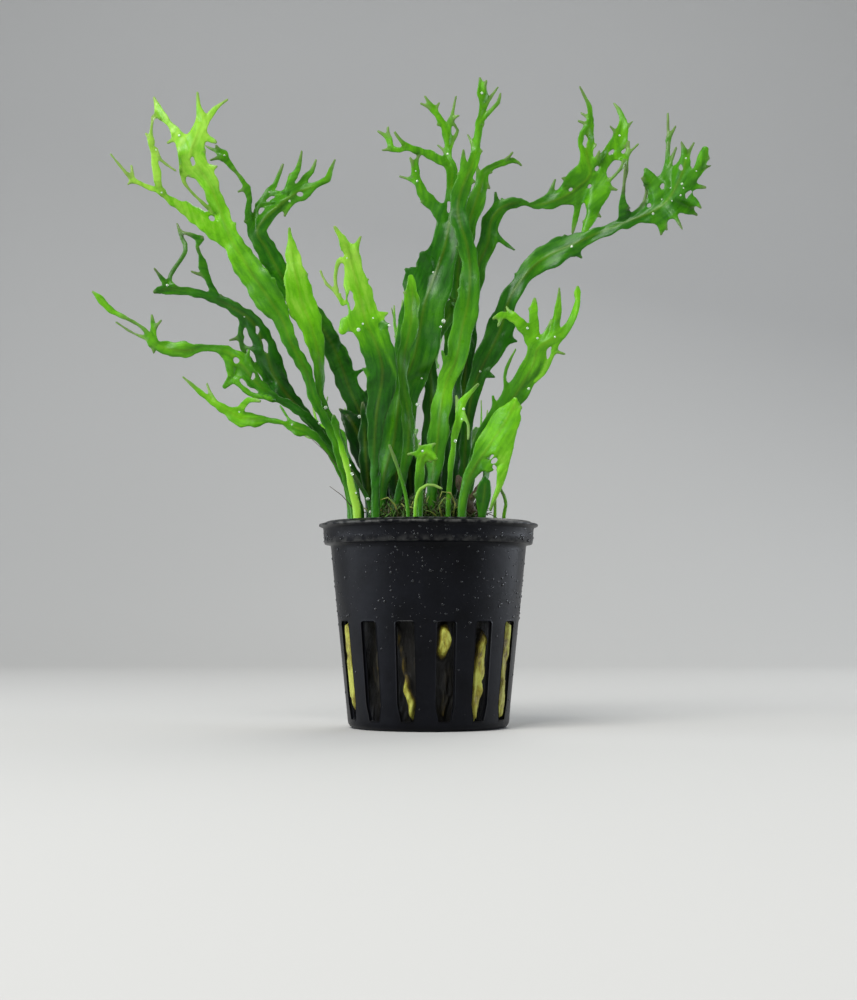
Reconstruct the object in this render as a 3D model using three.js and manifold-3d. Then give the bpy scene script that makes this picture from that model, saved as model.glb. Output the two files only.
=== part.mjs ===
// A crested java fern in a slotted net pot. Millimetres, +Z up, front at -Y,
// with the origin at the middle of the pot's foot.
import * as THREE from "three";
import { mergeVertices } from "three/addons/utils/BufferGeometryUtils.js";
import Module from "manifold-3d";

const wasm = await Module();
wasm.setup();

// Pot
const potHeight = 50;
const rimRadius = 27;
const rimThickness = 1;
const lipRadius = 25.4;
const collarRadius = 25.9;
const collarHeight = 5.2;
const shoulderRadius = 24.1;
const footRadius = 19.6;
const footRounding = 1.6;
const wallThickness = 1;
const floorThickness = 1.2;
const slotCount = 14;
const slotWidth = 4.6;
const slotBottom = 2.4;
const slotTop = 26;
const slotTaper = 4;
const slotCorner = 0.6;
const slotCutDepth = 9;
const firstSlotAngle = 11;
const potSides = 56;

// Plug and rhizome
const gap = 0.3;
const plugTop = 49;
const plugMound = 3;
const plugSides = 42;
const plugReach = 20;
const plugRipple = 0.5;
const chunkDepth = 1.1;
const chunkCount = 11;
const holeSides = 8;
const stemDepth = 45;
const holeSpare = 1.5;
const holeSlack = 0.45;
const rhizomeRadius = 1.1;
const rhizomeRoot = [10.6, -11.1];

// Fronds
const bladeThickness = 0.7;
const stalkThickness = 1.7;
const stalkFade = 9;
const bladeStart = 51;
const bladeFull = 63;
const stationStep = 4.4;
const outlineTolerance = 0.05;
const holeEndShare = 0.35;
const waveHeight = 0.7;
const waveLength = 15;
const armWave = 0.4;
const armSpread = 0.3;
const stalkShare = 0.85;
const viewDistance = 450;
const eyeHeight = 27;
const drawnSpread = 1.01;
const drawnShift = 0.25;

// A closed geometry as a solid that can be joined and cut
function solid(geometry) {
  const bare = geometry.clone();
  bare.deleteAttribute("normal");
  bare.deleteAttribute("uv");
  const merged = mergeVertices(bare, 1e-4);
  const corners = merged.index.array;
  const kept = [];
  for (let i = 0; i < corners.length; i += 3) {
    const [a, b, c] = [corners[i], corners[i + 1], corners[i + 2]];
    if (a !== b && b !== c && c !== a) kept.push(a, b, c);
  }
  return new wasm.Manifold(new wasm.Mesh({
    numProp: 3,
    vertProperties: new Float32Array(merged.attributes.position.array),
    triVerts: new Uint32Array(kept),
  }));
}

// A geometry from a list of points and a list of triangles
function geometryFrom(points, triangles) {
  const geometry = new THREE.BufferGeometry();
  geometry.setAttribute("position", new THREE.BufferAttribute(new Float32Array(points), 3));
  geometry.setIndex(triangles);
  geometry.computeVertexNormals();
  return geometry;
}

// The geometry of a solid
function geometryOf(manifold) {
  const mesh = manifold.getMesh();
  return geometryFrom(Array.from(mesh.vertProperties), Array.from(mesh.triVerts));
}

// A turned shape from its radius and height pairs, upright
function turned(profile, sides) {
  const points = profile.map(([radius, height]) => new THREE.Vector2(radius, height));
  return new THREE.LatheGeometry(points, sides).rotateX(Math.PI / 2);
}

// Radius of the pot's outside wall at a height
function wallRadius(height) {
  const share = height / (potHeight - collarHeight);
  return footRadius + (shoulderRadius - footRadius) * share;
}

function potGeometry() {
  const collarFoot = potHeight - collarHeight;
  const innerTop = lipRadius - 2 * wallThickness;
  const profile = [
    [0, 0],
    [footRadius - footRounding, 0],
    [wallRadius(0) - 0.3 * footRounding, 0.3 * footRounding],
    [wallRadius(footRounding), footRounding],
    [wallRadius(slotTop), slotTop],
    [wallRadius(collarFoot - 1), collarFoot - 1],
    [collarRadius - 0.4, collarFoot],
    [collarRadius, potHeight - rimThickness],
    [rimRadius, potHeight - rimThickness + 0.1],
    [rimRadius, potHeight - 0.2],
    [lipRadius, potHeight - 0.1],
    [lipRadius - 0.3, potHeight + 0.4],
    [lipRadius - 0.9, potHeight + 0.4],
    [innerTop + 0.6, collarFoot + 0.6],
    [wallRadius(collarFoot - 1) - wallThickness, collarFoot - 1],
    [wallRadius(floorThickness) - wallThickness, floorThickness],
    [0, floorThickness],
  ];
  let pot = solid(turned(profile, potSides));
  const half = slotWidth / 2;
  const foot = 0.64 * half;
  const slotShape = new THREE.Shape();
  slotShape.moveTo(-foot, slotBottom);
  slotShape.lineTo(foot, slotBottom);
  slotShape.lineTo(half, slotBottom + slotTaper);
  slotShape.lineTo(half, slotTop - slotCorner);
  slotShape.lineTo(half - slotCorner, slotTop);
  slotShape.lineTo(slotCorner - half, slotTop);
  slotShape.lineTo(-half, slotTop - slotCorner);
  slotShape.lineTo(-half, slotBottom + slotTaper);
  for (let i = 0; i < slotCount; i += 1) {
    const angle = firstSlotAngle + (360 / slotCount) * i;
    const slot = new THREE.ExtrudeGeometry(slotShape, { depth: slotCutDepth, bevelEnabled: false })
      .rotateX(Math.PI / 2)
      .translate(0, -footRadius + slotCutDepth / 2, 0)
      .rotateZ(THREE.MathUtils.degToRad(angle));
    pot = pot.subtract(solid(slot));
  }
  return geometryOf(pot);
}

// Height of the plug's uneven top, highest near its middle
function plugSurface(x, y) {
  const radius = Math.hypot(x, y);
  const mound = plugMound * Math.max(0, 1 - (radius / plugReach) ** 2);
  return plugTop + mound + plugRipple * Math.sin(0.55 * x + 1.3) * Math.cos(0.62 * y - 0.4);
}

// Radius of the plug's side, with the upright chunks that show through the slots
function plugRadius(height, angle) {
  const fit = wallRadius(Math.max(height, floorThickness)) - wallThickness - gap;
  const winding = 0.12 * height + 1.8 * Math.sin(0.21 * height + 3 * angle);
  const chunk = 0.5 + 0.5 * Math.sin(chunkCount * angle + winding);
  const band = THREE.MathUtils.smoothstep(height, 4, 8) * (1 - THREE.MathUtils.smoothstep(height, 24, 28));
  return fit - chunkDepth * chunk * band;
}

function plugGeometry(stems) {
  const floor = floorThickness + gap;
  const levels = [floor, 5, 9, 13, 17, 21, 25, 29, plugTop - 1.5];
  const rings = [22, 17, 10];
  const points = [0, 0, floor];
  const triangles = [];
  const row = (index) => 1 + index * plugSides;
  const addRing = (place) => {
    for (let i = 0; i < plugSides; i += 1) {
      const angle = (2 * Math.PI * i) / plugSides;
      const [radius, height] = place(angle);
      const [x, y] = [radius * Math.cos(angle), radius * Math.sin(angle)];
      points.push(x, y, height === null ? plugSurface(x, y) : height);
    }
  };
  levels.forEach((height) => addRing((angle) => [plugRadius(height, angle), height]));
  rings.forEach((radius) => addRing(() => [radius, null]));
  const rowCount = levels.length + rings.length;
  const top = points.length / 3;
  points.push(0, 0, plugSurface(0, 0));
  for (let i = 0; i < plugSides; i += 1) {
    const next = (i + 1) % plugSides;
    triangles.push(0, row(0) + next, row(0) + i);
    for (let level = 0; level < rowCount - 1; level += 1) {
      const [a, b] = [row(level) + i, row(level) + next];
      const [c, d] = [row(level + 1) + i, row(level + 1) + next];
      triangles.push(a, b, d, a, d, c);
    }
    triangles.push(row(rowCount - 1) + i, row(rowCount - 1) + next, top);
  }
  const holes = stems.map((stem) => {
    const radius = (Math.hypot(stem.width, stem.thickness) / 2 + holeSlack) / Math.cos(Math.PI / holeSides);
    const depth = 2 * (plugTop - stemDepth);
    const pin = new THREE.CylinderGeometry(radius, radius, depth * 2, holeSides)
      .rotateX(Math.PI / 2)
      .translate(stem.x, stem.y, stemDepth - holeSpare + depth);
    return solid(pin);
  });
  return geometryOf(solid(geometryFrom(points, triangles)).subtract(wasm.Manifold.union(holes)));
}

// The round brown stem above the plug, with a stub and a root
function rhizomeGeometry() {
  const section = (radius) => new THREE.Shape().absarc(0, 0, radius, 0, 2 * Math.PI);
  const tube = (path, radius, steps) => {
    const curve = new THREE.CatmullRomCurve3(path.map(([x, y, z]) => new THREE.Vector3(x, y, z)));
    return solid(new THREE.ExtrudeGeometry(section(radius), {
      steps,
      extrudePath: curve,
      curveSegments: 7,
      bevelEnabled: false,
    }));
  };
  const path = [[10.6, -11, stemDepth + 1], [10.6, -11.2, 52], [8.6, -11.6, 56.5], [7, -12.4, 61]];
  const stem = tube(path, rhizomeRadius, 7);
  const stub = tube([[9.4, -11.4, 54.6], [11.6, -11.6, 57], [12.4, -11.8, 59]], 0.7, 3);
  const root = tube([[10.6, -11.2, 51.5], [12.6, -12, 52.6], [14.2, -13.2, 51.4]], 0.4, 4);
  return geometryOf(wasm.Manifold.union([stem, stub, root]));
}

// Points along a list of stations on a smooth curve, about one step apart
function smoothed(nodes, step) {
  const result = [nodes[0]];
  for (let i = 0; i < nodes.length - 1; i += 1) {
    const [before, from, to, after] = [nodes[Math.max(i - 1, 0)], nodes[i], nodes[i + 1],
      nodes[Math.min(i + 2, nodes.length - 1)]];
    const parts = Math.max(1, Math.round(Math.hypot(to[0] - from[0], to[1] - from[1]) / step));
    for (let k = 1; k <= parts; k += 1) {
      const t = k / parts;
      result.push(from.map((value, n) => {
        const [a, d] = [before[n], after[n]];
        const slope = (to[n] - a) / 2;
        const nextSlope = (d - value) / 2;
        const t2 = t * t;
        const t3 = t2 * t;
        return (2 * t3 - 3 * t2 + 1) * value + (t3 - 2 * t2 + t) * slope
          + (3 * t2 - 2 * t3) * to[n] + (t3 - t2) * nextSlope;
      }));
    }
  }
  return result;
}

// A flat ribbon along stations of [x, z, width], as a thin upright plate to join and cut
function ribbon(stations) {
  const count = stations.length;
  const points = [];
  [1, -1].forEach((side) => stations.forEach(([x, z, width], i) => {
    const [ax, az] = stations[Math.max(i - 1, 0)];
    const [bx, bz] = stations[Math.min(i + 1, count - 1)];
    const length = Math.hypot(bx - ax, bz - az);
    const [acrossX, acrossZ] = [(az - bz) / length * width / 2, (bx - ax) / length * width / 2];
    points.push(x + acrossX, z + acrossZ, side, x - acrossX, z - acrossZ, side);
  }));
  const under = 2 * count;
  const triangles = [];
  for (let i = 0; i < count - 1; i += 1) {
    const [left, right, nextLeft, nextRight] = [2 * i, 2 * i + 1, 2 * i + 2, 2 * i + 3];
    triangles.push(right, nextRight, nextLeft, right, nextLeft, left);
    triangles.push(under + right, under + nextLeft, under + nextRight, under + right, under + left,
      under + nextLeft);
    triangles.push(under + right, under + nextRight, nextRight, under + right, nextRight, right);
    triangles.push(under + nextLeft, under + left, left, under + nextLeft, left, nextLeft);
  }
  const [lastLeft, lastRight] = [under - 2, under - 1];
  triangles.push(under, under + 1, 1, under, 1, 0);
  triangles.push(under + lastRight, under + lastLeft, lastLeft, under + lastRight, lastLeft, lastRight);
  return new wasm.Manifold(new wasm.Mesh({
    numProp: 3,
    vertProperties: new Float32Array(points),
    triVerts: new Uint32Array(triangles),
  }));
}

// A hole of [x, z, width, height, tilt], as a short ribbon with narrow ends
function holeRibbon([x, z, width, height, tilt]) {
  const angle = THREE.MathUtils.degToRad(tilt);
  const [dx, dz] = [-Math.sin(angle) * height / 2, Math.cos(angle) * height / 2];
  const end = holeEndShare * width;
  return ribbon([[x - dx, z - dz, end], [x, z, width], [x + dx, z + dz, end]]);
}

// The segments of a branch, with the depth at each end, the turn of the blade and the distance from its root
function segmentsOf(stations, turn, wave) {
  let travelled = 0;
  const lengths = stations.map(([x, z], i) => {
    if (i > 0) travelled += Math.hypot(x - stations[i - 1][0], z - stations[i - 1][1]);
    return travelled;
  });
  return stations.slice(1).map((to, i) => ({
    from: stations[i],
    to,
    start: lengths[i],
    end: lengths[i + 1],
    turns: [lengths[i], lengths[i + 1]].map((at) => turn[0] + (turn[1] - turn[0]) * (at / travelled)),
    wave,
  }));
}

// Depth of the leaf at a place on its drawing: the nearest branches count most
function depthAt(segments, x, z) {
  const opened = THREE.MathUtils.smoothstep(z, bladeStart, bladeFull);
  let [sum, total] = [0, 0];
  segments.forEach(({ from, to, start, end, turns, wave }) => {
    const [dx, dz] = [to[0] - from[0], to[1] - from[1]];
    const length = Math.max(Math.hypot(dx, dz), 1e-6);
    const along = ((x - from[0]) * dx + (z - from[1]) * dz) / (length * length);
    const t = Math.min(Math.max(along, 0), 1);
    const offset = Math.hypot(x - from[0] - t * dx, z - from[1] - t * dz);
    const side = ((x - from[0]) * dz - (z - from[1]) * dx) / length;
    const half = Math.max((from[2] + (to[2] - from[2]) * t) / 2, 0.3);
    const reach = Math.min(Math.max(side / half, -1), 1);
    const turned = THREE.MathUtils.clamp(side, -half, half) * (turns[0] + (turns[1] - turns[0]) * t);
    const ripple = wave.height * reach * Math.min(half / 2, 1)
      * Math.sin((2 * Math.PI * (start + (end - start) * t)) / wave.length + wave.phase + 0.9 * reach);
    const depth = from[3] + (to[3] - from[3]) * t + opened * (turned + ripple);
    const weight = 1 / (offset * offset + 0.25) ** 2;
    sum += weight * depth;
    total += weight;
  });
  return sum / total;
}

// A frond's cut outline, laid over its curved surface and thickened evenly
function frondGeometry(frond) {
  const trunk = smoothed(frond.trunk, stationStep);
  const stations = [trunk];
  let segments = segmentsOf(trunk, frond.turn, frond.wave);
  frond.arms.forEach((nodes, index) => {
    const root = depthAt(segments, nodes[0][0], nodes[0][1]);
    const span = Math.hypot(nodes.at(-1)[0] - nodes[0][0], nodes.at(-1)[1] - nodes[0][1]);
    const lift = armSpread * span * Math.sin(2.4 * index + frond.wave.phase);
    const deep = nodes.map(([x, z, width], i) => [x, z, width, root + (lift * i) / (nodes.length - 1)]);
    stations.push(deep);
    const wave = { ...frond.wave, height: armWave * frond.wave.height };
    segments = segments.concat(segmentsOf(deep, [0, 0], wave));
  });
  let flat = wasm.Manifold.union(stations.map((list) => ribbon(list)));
  if (frond.holes.length > 0) flat = flat.subtract(wasm.Manifold.union(frond.holes.map(holeRibbon)));
  return thickened(flat.simplify(outlineTolerance), frond, segments);
}

// The two faces of a leaf and the edge between them, with both faces split alike
function thickened(flat, frond, segments) {
  const { vertProperties, triVerts } = flat.getMesh();
  const upper = [];
  const place = new Map();
  const places = [];
  for (let i = 0; i < triVerts.length; i += 3) {
    const corners = Array.from(triVerts.slice(i, i + 3));
    if (corners.some((corner) => vertProperties[3 * corner + 2] < 0)) continue;
    upper.push(corners.map((corner) => {
      if (!place.has(corner)) {
        place.set(corner, places.length);
        places.push([vertProperties[3 * corner], vertProperties[3 * corner + 1]]);
      }
      return place.get(corner);
    }));
  }
  const middle = places.map(([x, z]) => frond.place(x, z, depthAt(segments, x, z)));
  const normals = middle.map(() => new THREE.Vector3());
  upper.forEach(([a, b, c]) => {
    const normal = new THREE.Vector3().subVectors(middle[b], middle[a])
      .cross(new THREE.Vector3().subVectors(middle[c], middle[a]));
    [a, b, c].forEach((corner) => normals[corner].add(normal));
  });
  const points = [];
  [1, -1].forEach((side) => middle.forEach((point, i) => {
    const fade = Math.exp(-Math.max(point.z - potHeight, 0) / stalkFade);
    const thickness = bladeThickness + (frond.stalk - bladeThickness) * fade;
    const shifted = point.clone().addScaledVector(normals[i].clone().normalize(), (side * thickness) / 2);
    points.push(shifted.x, shifted.y, shifted.z);
  }));
  const count = middle.length;
  const edges = new Set();
  upper.forEach(([a, b, c]) => [[a, b], [b, c], [c, a]].forEach(([from, to]) => edges.add(`${from} ${to}`)));
  const triangles = [];
  upper.forEach(([a, b, c]) => {
    triangles.push(a, b, c, count + a, count + c, count + b);
    [[a, b], [b, c], [c, a]].forEach(([from, to]) => {
      if (!edges.has(`${to} ${from}`)) triangles.push(to, from, count + from, to, count + from, count + to);
    });
  });
  return geometryFrom(points, triangles);
}

// A place on a front frond's drawing in space: drawn as it looks from the front at eye height
function seenFromFront(x, z, depth) {
  const scale = (viewDistance + depth) / viewDistance;
  const acrossX = (x * drawnSpread + drawnShift) * scale;
  return new THREE.Vector3(acrossX, depth, eyeHeight + (z - eyeHeight) * scale);
}

// A place on a back frond's drawing: x is the distance from its root, along the way that it leans
function leaningBack([rootX, rootY], facing) {
  const angle = THREE.MathUtils.degToRad(facing);
  const [c, s] = [Math.cos(angle), Math.sin(angle)];
  return (x, z, depth) => new THREE.Vector3(rootX + c * x - s * depth, rootY + s * x + c * depth, z);
}

// Fronds as the front shows them. A trunk's nodes are [x, z, width, depth] from the root to the tip, an arm's
// are [x, z, width], and a hole is [x, z, width, height, tilt in degrees].
const frontFronds = {
  left_tall: {
    turn: [0.5, -0.35],
    trunk: [[-18.4, 45, 2.6, -9], [-18.4, 54, 2.4, -9], [-21, 63.5, 2.2, -10], [-23.9, 72.2, 2.2, -11],
      [-28.2, 81, 2.4, -12], [-30.1, 87.3, 2.8, -12.5], [-34.1, 94.8, 3.4, -13], [-36.1, 100.5, 4.4, -13.5],
      [-39.6, 106, 7, -14], [-44.5, 113.6, 6.6, -14], [-48, 119, 5.2, -14], [-49.5, 122.3, 4.6, -14],
      [-52.4, 129.9, 3.6, -15], [-54.9, 136.1, 4.6, -16], [-59, 142, 6.8, -17], [-57.8, 146.6, 4.8, -18],
      [-56.4, 150.6, 3, -18.5], [-57.1, 154.1, 1.4, -19], [-57.6, 158.2, 0.6, -19.5]],
    arms: [
      [[-55.9, 150.4, 2], [-53.2, 154.1, 1.2], [-50.2, 156.4, 0.6]],
      [[-58.8, 143, 5], [-61.9, 146.8, 3.2], [-64.8, 150.6, 1.6], [-66.8, 153.1, 1.9], [-68.3, 156.9, 0.6]],
      [[-66.6, 153, 1.5], [-68.5, 152, 0.7]],
      [[-62, 147.2, 1.6], [-64.8, 145.4, 0.6]],
      [[-56.4, 147.4, 3], [-53, 145.6, 0.7]],
      [[-55.4, 138.6, 3], [-52.7, 139.4, 0.6]],
      [[-60.4, 140.6, 2.4], [-60.8, 135.6, 0.9], [-55.7, 129.8, 0.8], [-52.9, 127.4, 1]],
      [[-49.5, 120.6, 4.4], [-56.4, 126, 4.4], [-61.9, 129.6, 2.5], [-65.3, 131.9, 1.3], [-66.6, 133.6, 1.6],
        [-67.3, 136.1, 2], [-68.3, 142.4, 1.7], [-69.1, 146.6, 1.2], [-68.6, 151.6, 0.6]],
      [[-68.8, 145.8, 1], [-70.4, 147.8, 0.5]],
      [[-67.8, 143.6, 1], [-66.4, 141, 0.7], [-62.9, 138.4, 0.5]],
      [[-66.2, 132.9, 1.6], [-70.6, 134.6, 1.2], [-73.5, 135.9, 1.1], [-74.6, 134.9, 0.5]],
      [[-73.2, 135.8, 1], [-73.8, 139.6, 0.5]],
      [[-73.4, 135.9, 0.8], [-75.2, 137.9, 0.7], [-79, 142.6, 0.5]],
    ],
    holes: [[-58.6, 140.7, 1.1, 2.3, 0], [-53.8, 126.3, 1.5, 1.5, 0]],
  },
  left_back: {
    turn: [-0.4, 0.4],
    trunk: [[-9.8, 45, 2.2, 7], [-9.8, 54, 2.2, 7], [-11.2, 61, 4.6, 8], [-14.4, 71, 6, 8.6],
      [-17.2, 78, 5.8, 8], [-19.8, 84, 5.2, 7], [-22, 90, 5.2, 5], [-24.6, 95.8, 5, 2],
      [-28.6, 101.6, 5.4, -1.6], [-33.4, 107.4, 5.6, -5], [-37.3, 113.1, 5.4, -7],
      [-40.4, 118.8, 4.8, -7.5], [-42.6, 123, 4.4, -8], [-39.6, 127.4, 3.2, -8], [-35, 131.4, 4.2, -8.5],
      [-32.1, 133.1, 4.6, -9], [-29.4, 134.1, 2.8, -9], [-27.2, 135.1, 1.6, -9.3],
      [-25.2, 136.1, 1.6, -9.6], [-24.4, 138.6, 1.1, -10], [-23.4, 141.1, 0.5, -10]],
    arms: [
      [[-42.6, 122.4, 3], [-43.2, 125.8, 1.6], [-42.2, 129.6, 1.3], [-39.6, 133.1, 1.6],
        [-38.3, 134.6, 1.6], [-36.3, 139.9, 0.5]],
      [[-35.6, 131, 2], [-34, 135.9, 2], [-32.6, 138.6, 1.3], [-31.6, 143.4, 0.5]],
      [[-32.6, 133.1, 2.5], [-30.6, 136.6, 1.6], [-29.1, 138.1, 1.2], [-28.1, 141.1, 0.5]],
      [[-42.2, 129.7, 1.2], [-38.2, 129.6, 1.2]],
      [[-39.6, 133, 1.2], [-35, 132, 1.4]],
      [[-34.6, 130.6, 2], [-35.8, 126.9, 0.7]],
      [[-43, 122.6, 3.2], [-45, 127.9, 1.7], [-44.5, 131.1, 1.2], [-45.3, 134.1, 1.6], [-47, 136.9, 1],
        [-49, 139.4, 1.2], [-51.3, 142.6, 2.2]],
      [[-51.2, 142.4, 1.6], [-52.9, 144.8, 0.5]],
      [[-51, 142.4, 1.4], [-55.4, 144.6, 0.5]],
      [[-50.8, 142.2, 1.4], [-54.2, 141, 0.5]],
      [[-45.2, 134, 1.2], [-47.4, 133, 0.5]],
      [[-19.4, 86.6, 2.4], [-17.6, 87.6, 1.2], [-16.2, 88.4, 0.5]],
      [[-17, 80.4, 3.4], [-15.4, 82, 1.6], [-14.8, 83.6, 0.6]],
      [[-23, 92, 3], [-21.6, 93.4, 1], [-20.6, 92.6, 0.5]],
    ],
    holes: [[-31.9, 132.4, 1.6, 1.2, 0]],
  },
  left_pointed: {
    turn: [0.6, 0.3],
    trunk: [[-19.2, 45, 2, -5], [-19.2, 54, 2, -5], [-20.5, 61, 1.8, -6], [-22.2, 71, 2, -7.4],
      [-26.7, 81, 2.2, -9], [-26.9, 87.3, 2.4, -9.6], [-27.7, 93.5, 4, -10.4], [-29.4, 99.8, 6, -11],
      [-31.4, 104.8, 7.2, -11], [-32.6, 109.8, 6, -11], [-33.6, 115.6, 3.8, -10.6], [-34.3, 120.3, 1.9, -10],
      [-34.6, 123.8, 0.6, -9.5]],
    arms: [],
    holes: [],
  },
  left_middle: {
    turn: [0.3, -0.3],
    trunk: [[-14, 45, 2, 7.5], [-14, 54, 2, 7.5], [-17.2, 61, 2.2, 6.6], [-23.4, 68.5, 2.4, 5.6],
      [-28.4, 74.7, 2.4, 5], [-34.4, 81.2, 4, 4.5], [-38.2, 87, 6, 4], [-40.6, 94, 5.6, 3.5],
      [-43.8, 100.4, 4.2, 3], [-50.5, 105, 2.6, 2.5], [-56.9, 107.4, 2, 2], [-61.9, 108.2, 2.1, 1.5],
      [-64.9, 108.6, 2.8, 1], [-67.6, 107.8, 0.9, 1]],
    arms: [
      [[-64.7, 109.4, 1.8], [-67.8, 113.6, 0.5]],
      [[-64.1, 109.4, 1.4], [-63.9, 111.8, 1.1], [-60.2, 118.1, 1.1], [-61.1, 121.1, 1], [-62.4, 125.1, 0.5]],
      [[-52.6, 106.4, 1.8], [-54.9, 111.6, 1.5], [-55.9, 114.1, 2.2], [-56.6, 117.1, 1.1], [-57.4, 119.1, 1],
        [-56.9, 121.1, 1.8], [-58.7, 122.1, 1], [-61.1, 122.8, 0.5]],
      [[-55.4, 111.6, 1], [-58.7, 112.9, 0.5]],
      [[-45.6, 101.6, 1.4], [-46.5, 96, 1.1], [-44.2, 90.5, 1.2], [-38.4, 85.3, 1.6]],
      [[-45.6, 94, 1], [-41.6, 93, 1.2]],
      [[-46.2, 96.4, 1.2], [-49.2, 95.6, 0.5]],
      [[-44.4, 90.8, 1.2], [-47.4, 88.4, 0.5]],
    ],
    holes: [[-40.4, 94.3, 1.2, 3.8, 15], [-42.4, 98.2, 0.9, 2.2, 15]],
  },
  left_low: {
    turn: [0.4, -0.3],
    trunk: [[-17, 45, 1.9, 3.6], [-17, 54, 1.8, 3.6], [-19.7, 58.5, 1.8, 3.2], [-23.4, 67.2, 1.9, 2.4],
      [-27.7, 74, 2, 1.5], [-33.4, 79, 2, 1], [-38.3, 81.5, 2.2, 0.5], [-42.3, 84.7, 3, 0],
      [-46, 89.4, 4.4, -0.5], [-49.8, 92.6, 3, -1], [-54.4, 93.8, 1.4, -1.5], [-57.4, 93.4, 2.4, -1.5],
      [-60.6, 93.2, 4.1, -2], [-64.8, 93.6, 3.2, -2], [-68.1, 95, 1.9, -2.5], [-69.8, 98, 1, -3],
      [-73, 100.3, 0.9, -3.5], [-76, 101.8, 1, -4], [-78, 102.8, 1.4, -4], [-80, 104.8, 1.6, -4.5],
      [-81.7, 106.6, 1.6, -5], [-83, 107.8, 0.6, -5]],
    arms: [
      [[-67.8, 95.4, 1], [-73, 97.5, 0.6], [-77.2, 100.2, 0.5]],
      [[-67.8, 95.6, 1.5], [-68.1, 99.8, 1.3], [-68.4, 102, 0.5]],
      [[-68, 98.2, 1], [-66.1, 100.6, 0.5]],
      [[-68.1, 95.2, 1.4], [-67.8, 92.4, 0.5]],
      [[-46.6, 88.2, 2.6], [-50.4, 84, 1.2]],
      [[-50.2, 92.3, 1.6], [-48.6, 87, 1.4], [-44.2, 82.3, 1.3], [-38.6, 81.2, 1.5]],
      [[-45, 89.8, 1.6], [-44.4, 93.2, 0.6]],
    ],
    holes: [[-47.6, 90.6, 1.5, 1.6, 0], [-43.4, 86.6, 0.9, 1.9, -20]],
  },
  left_lowest: {
    turn: [0.5, 0.3],
    trunk: [[-17.8, 45, 1.5, -1.6], [-17.8, 54, 1.4, -1.6], [-19.9, 58.5, 1.4, -2], [-23.6, 66, 1.4, -2.6],
      [-27.4, 71, 1.4, -3], [-30.1, 73, 2.4, -3], [-32.6, 73.7, 3.2, -3.5], [-35.8, 75, 1.2, -4],
      [-39.6, 75.7, 1.7, -4.5], [-43.3, 75.7, 3.4, -5], [-47, 76.5, 4, -5.5], [-50.5, 78.5, 2.4, -6],
      [-53.2, 80.2, 1.4, -6.5], [-55.7, 82.2, 1.3, -7], [-60.6, 86.5, 0.5, -8]],
    arms: [
      [[-53, 80.1, 1.2], [-54.7, 84.8, 0.5]],
      [[-46.6, 77.6, 1.8], [-44.5, 80.7, 1.4], [-41.6, 80.4, 0.6]],
      [[-33.6, 74.4, 1], [-36.6, 79.2, 0.5]],
    ],
    holes: [],
  },
  left_pale: {
    turn: [0.2, 0.2],
    trunk: [[-17.7, 45, 2.1, -12.6], [-17.7, 53, 2.1, -12.6], [-18.6, 57, 1.9, -12.8],
      [-19.8, 62.5, 1.5, -13.3], [-21.6, 69, 1.4, -14.2], [-22.8, 73, 1.3, -14.8], [-23.2, 75, 1.9, -15.2],
      [-23.5, 76.6, 1, -15.4]],
    arms: [],
    holes: [],
  },
  left_thin: {
    turn: [0.2, 0.2],
    trunk: [[-14.4, 45, 1.2, -9.6], [-14.4, 53, 1.2, -9.6], [-15.3, 56.5, 1.1, -10], [-17.7, 60.5, 1, -11],
      [-19.7, 64, 0.7, -12]],
    arms: [],
    holes: [],
  },
  left_dark: {
    turn: [-0.3, 0.2],
    trunk: [[-14.6, 45, 2.2, 1], [-14.6, 54.5, 2.2, 1], [-15.2, 61, 3, -0.2], [-15.6, 67, 3.4, -1.4],
      [-15.9, 72, 3, -2], [-16.2, 77, 1.6, -2.4], [-16.4, 80, 0.6, -2.6]],
    arms: [],
    holes: [],
  },
  left_inner: {
    turn: [0.3, 0.2],
    trunk: [[-10.6, 45, 2.2, 2.6], [-10.6, 54, 2.4, 2.6], [-13, 61, 5, 2.6], [-16.6, 69.8, 6.4, 2.9],
      [-19, 75, 4.6, 3.4], [-20.6, 77.2, 2.4, 3.8], [-22, 78.4, 0.8, 4]],
    arms: [],
    holes: [],
  },
  centre_bright: {
    turn: [-0.3, 0.5],
    trunk: [[-13.2, 45, 2.2, -13.4], [-13.2, 54, 2.2, -13.4], [-13.3, 61, 2, -14.4], [-13.6, 69, 3, -16],
      [-13, 77, 5, -17.8], [-12, 83.5, 6.8, -19.4], [-11.7, 89, 7.6, -21], [-13.3, 95, 8, -22],
      [-15.8, 100.5, 7.4, -22.5], [-17.2, 106.6, 6.8, -23], [-18.6, 112.3, 5.2, -23.5],
      [-19.7, 117.1, 4.2, -24], [-21.5, 121.1, 2, -24.5], [-23.4, 124.1, 0.6, -25]],
    arms: [
      [[-18.8, 116.6, 2.8], [-17.9, 119.4, 1.4], [-17, 121.6, 0.6]],
      [[-20.4, 116.4, 1.4], [-22.4, 115.6, 1], [-23.2, 112, 0.9], [-22.9, 108, 0.9], [-21.4, 105, 1.4]],
      [[-22.6, 107.4, 0.9], [-25.4, 109.8, 0.7], [-26.9, 113.1, 0.5]],
      [[-16.6, 99.6, 5.4], [-20.4, 99.6, 3.6], [-21.4, 98.2, 2.4]],
      [[-14, 101, 4], [-11.9, 102, 1.8], [-10.4, 102.4, 0.6]],
      [[-12, 99, 4], [-10, 99.6, 0.6]],
      [[-14.6, 87, 2], [-16.4, 88.6, 0.5]],
      [[-13.3, 59.6, 1.6], [-12.4, 62.4, 0.6]],
    ],
    holes: [[-21.6, 117.3, 1, 1.8, 0], [-21.5, 114.3, 1.1, 1.4, 0], [-22, 109.6, 1.1, 4.6, 0],
      [-19.3, 105.6, 1.5, 5, 8]],
  },
  centre_broad: {
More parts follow.
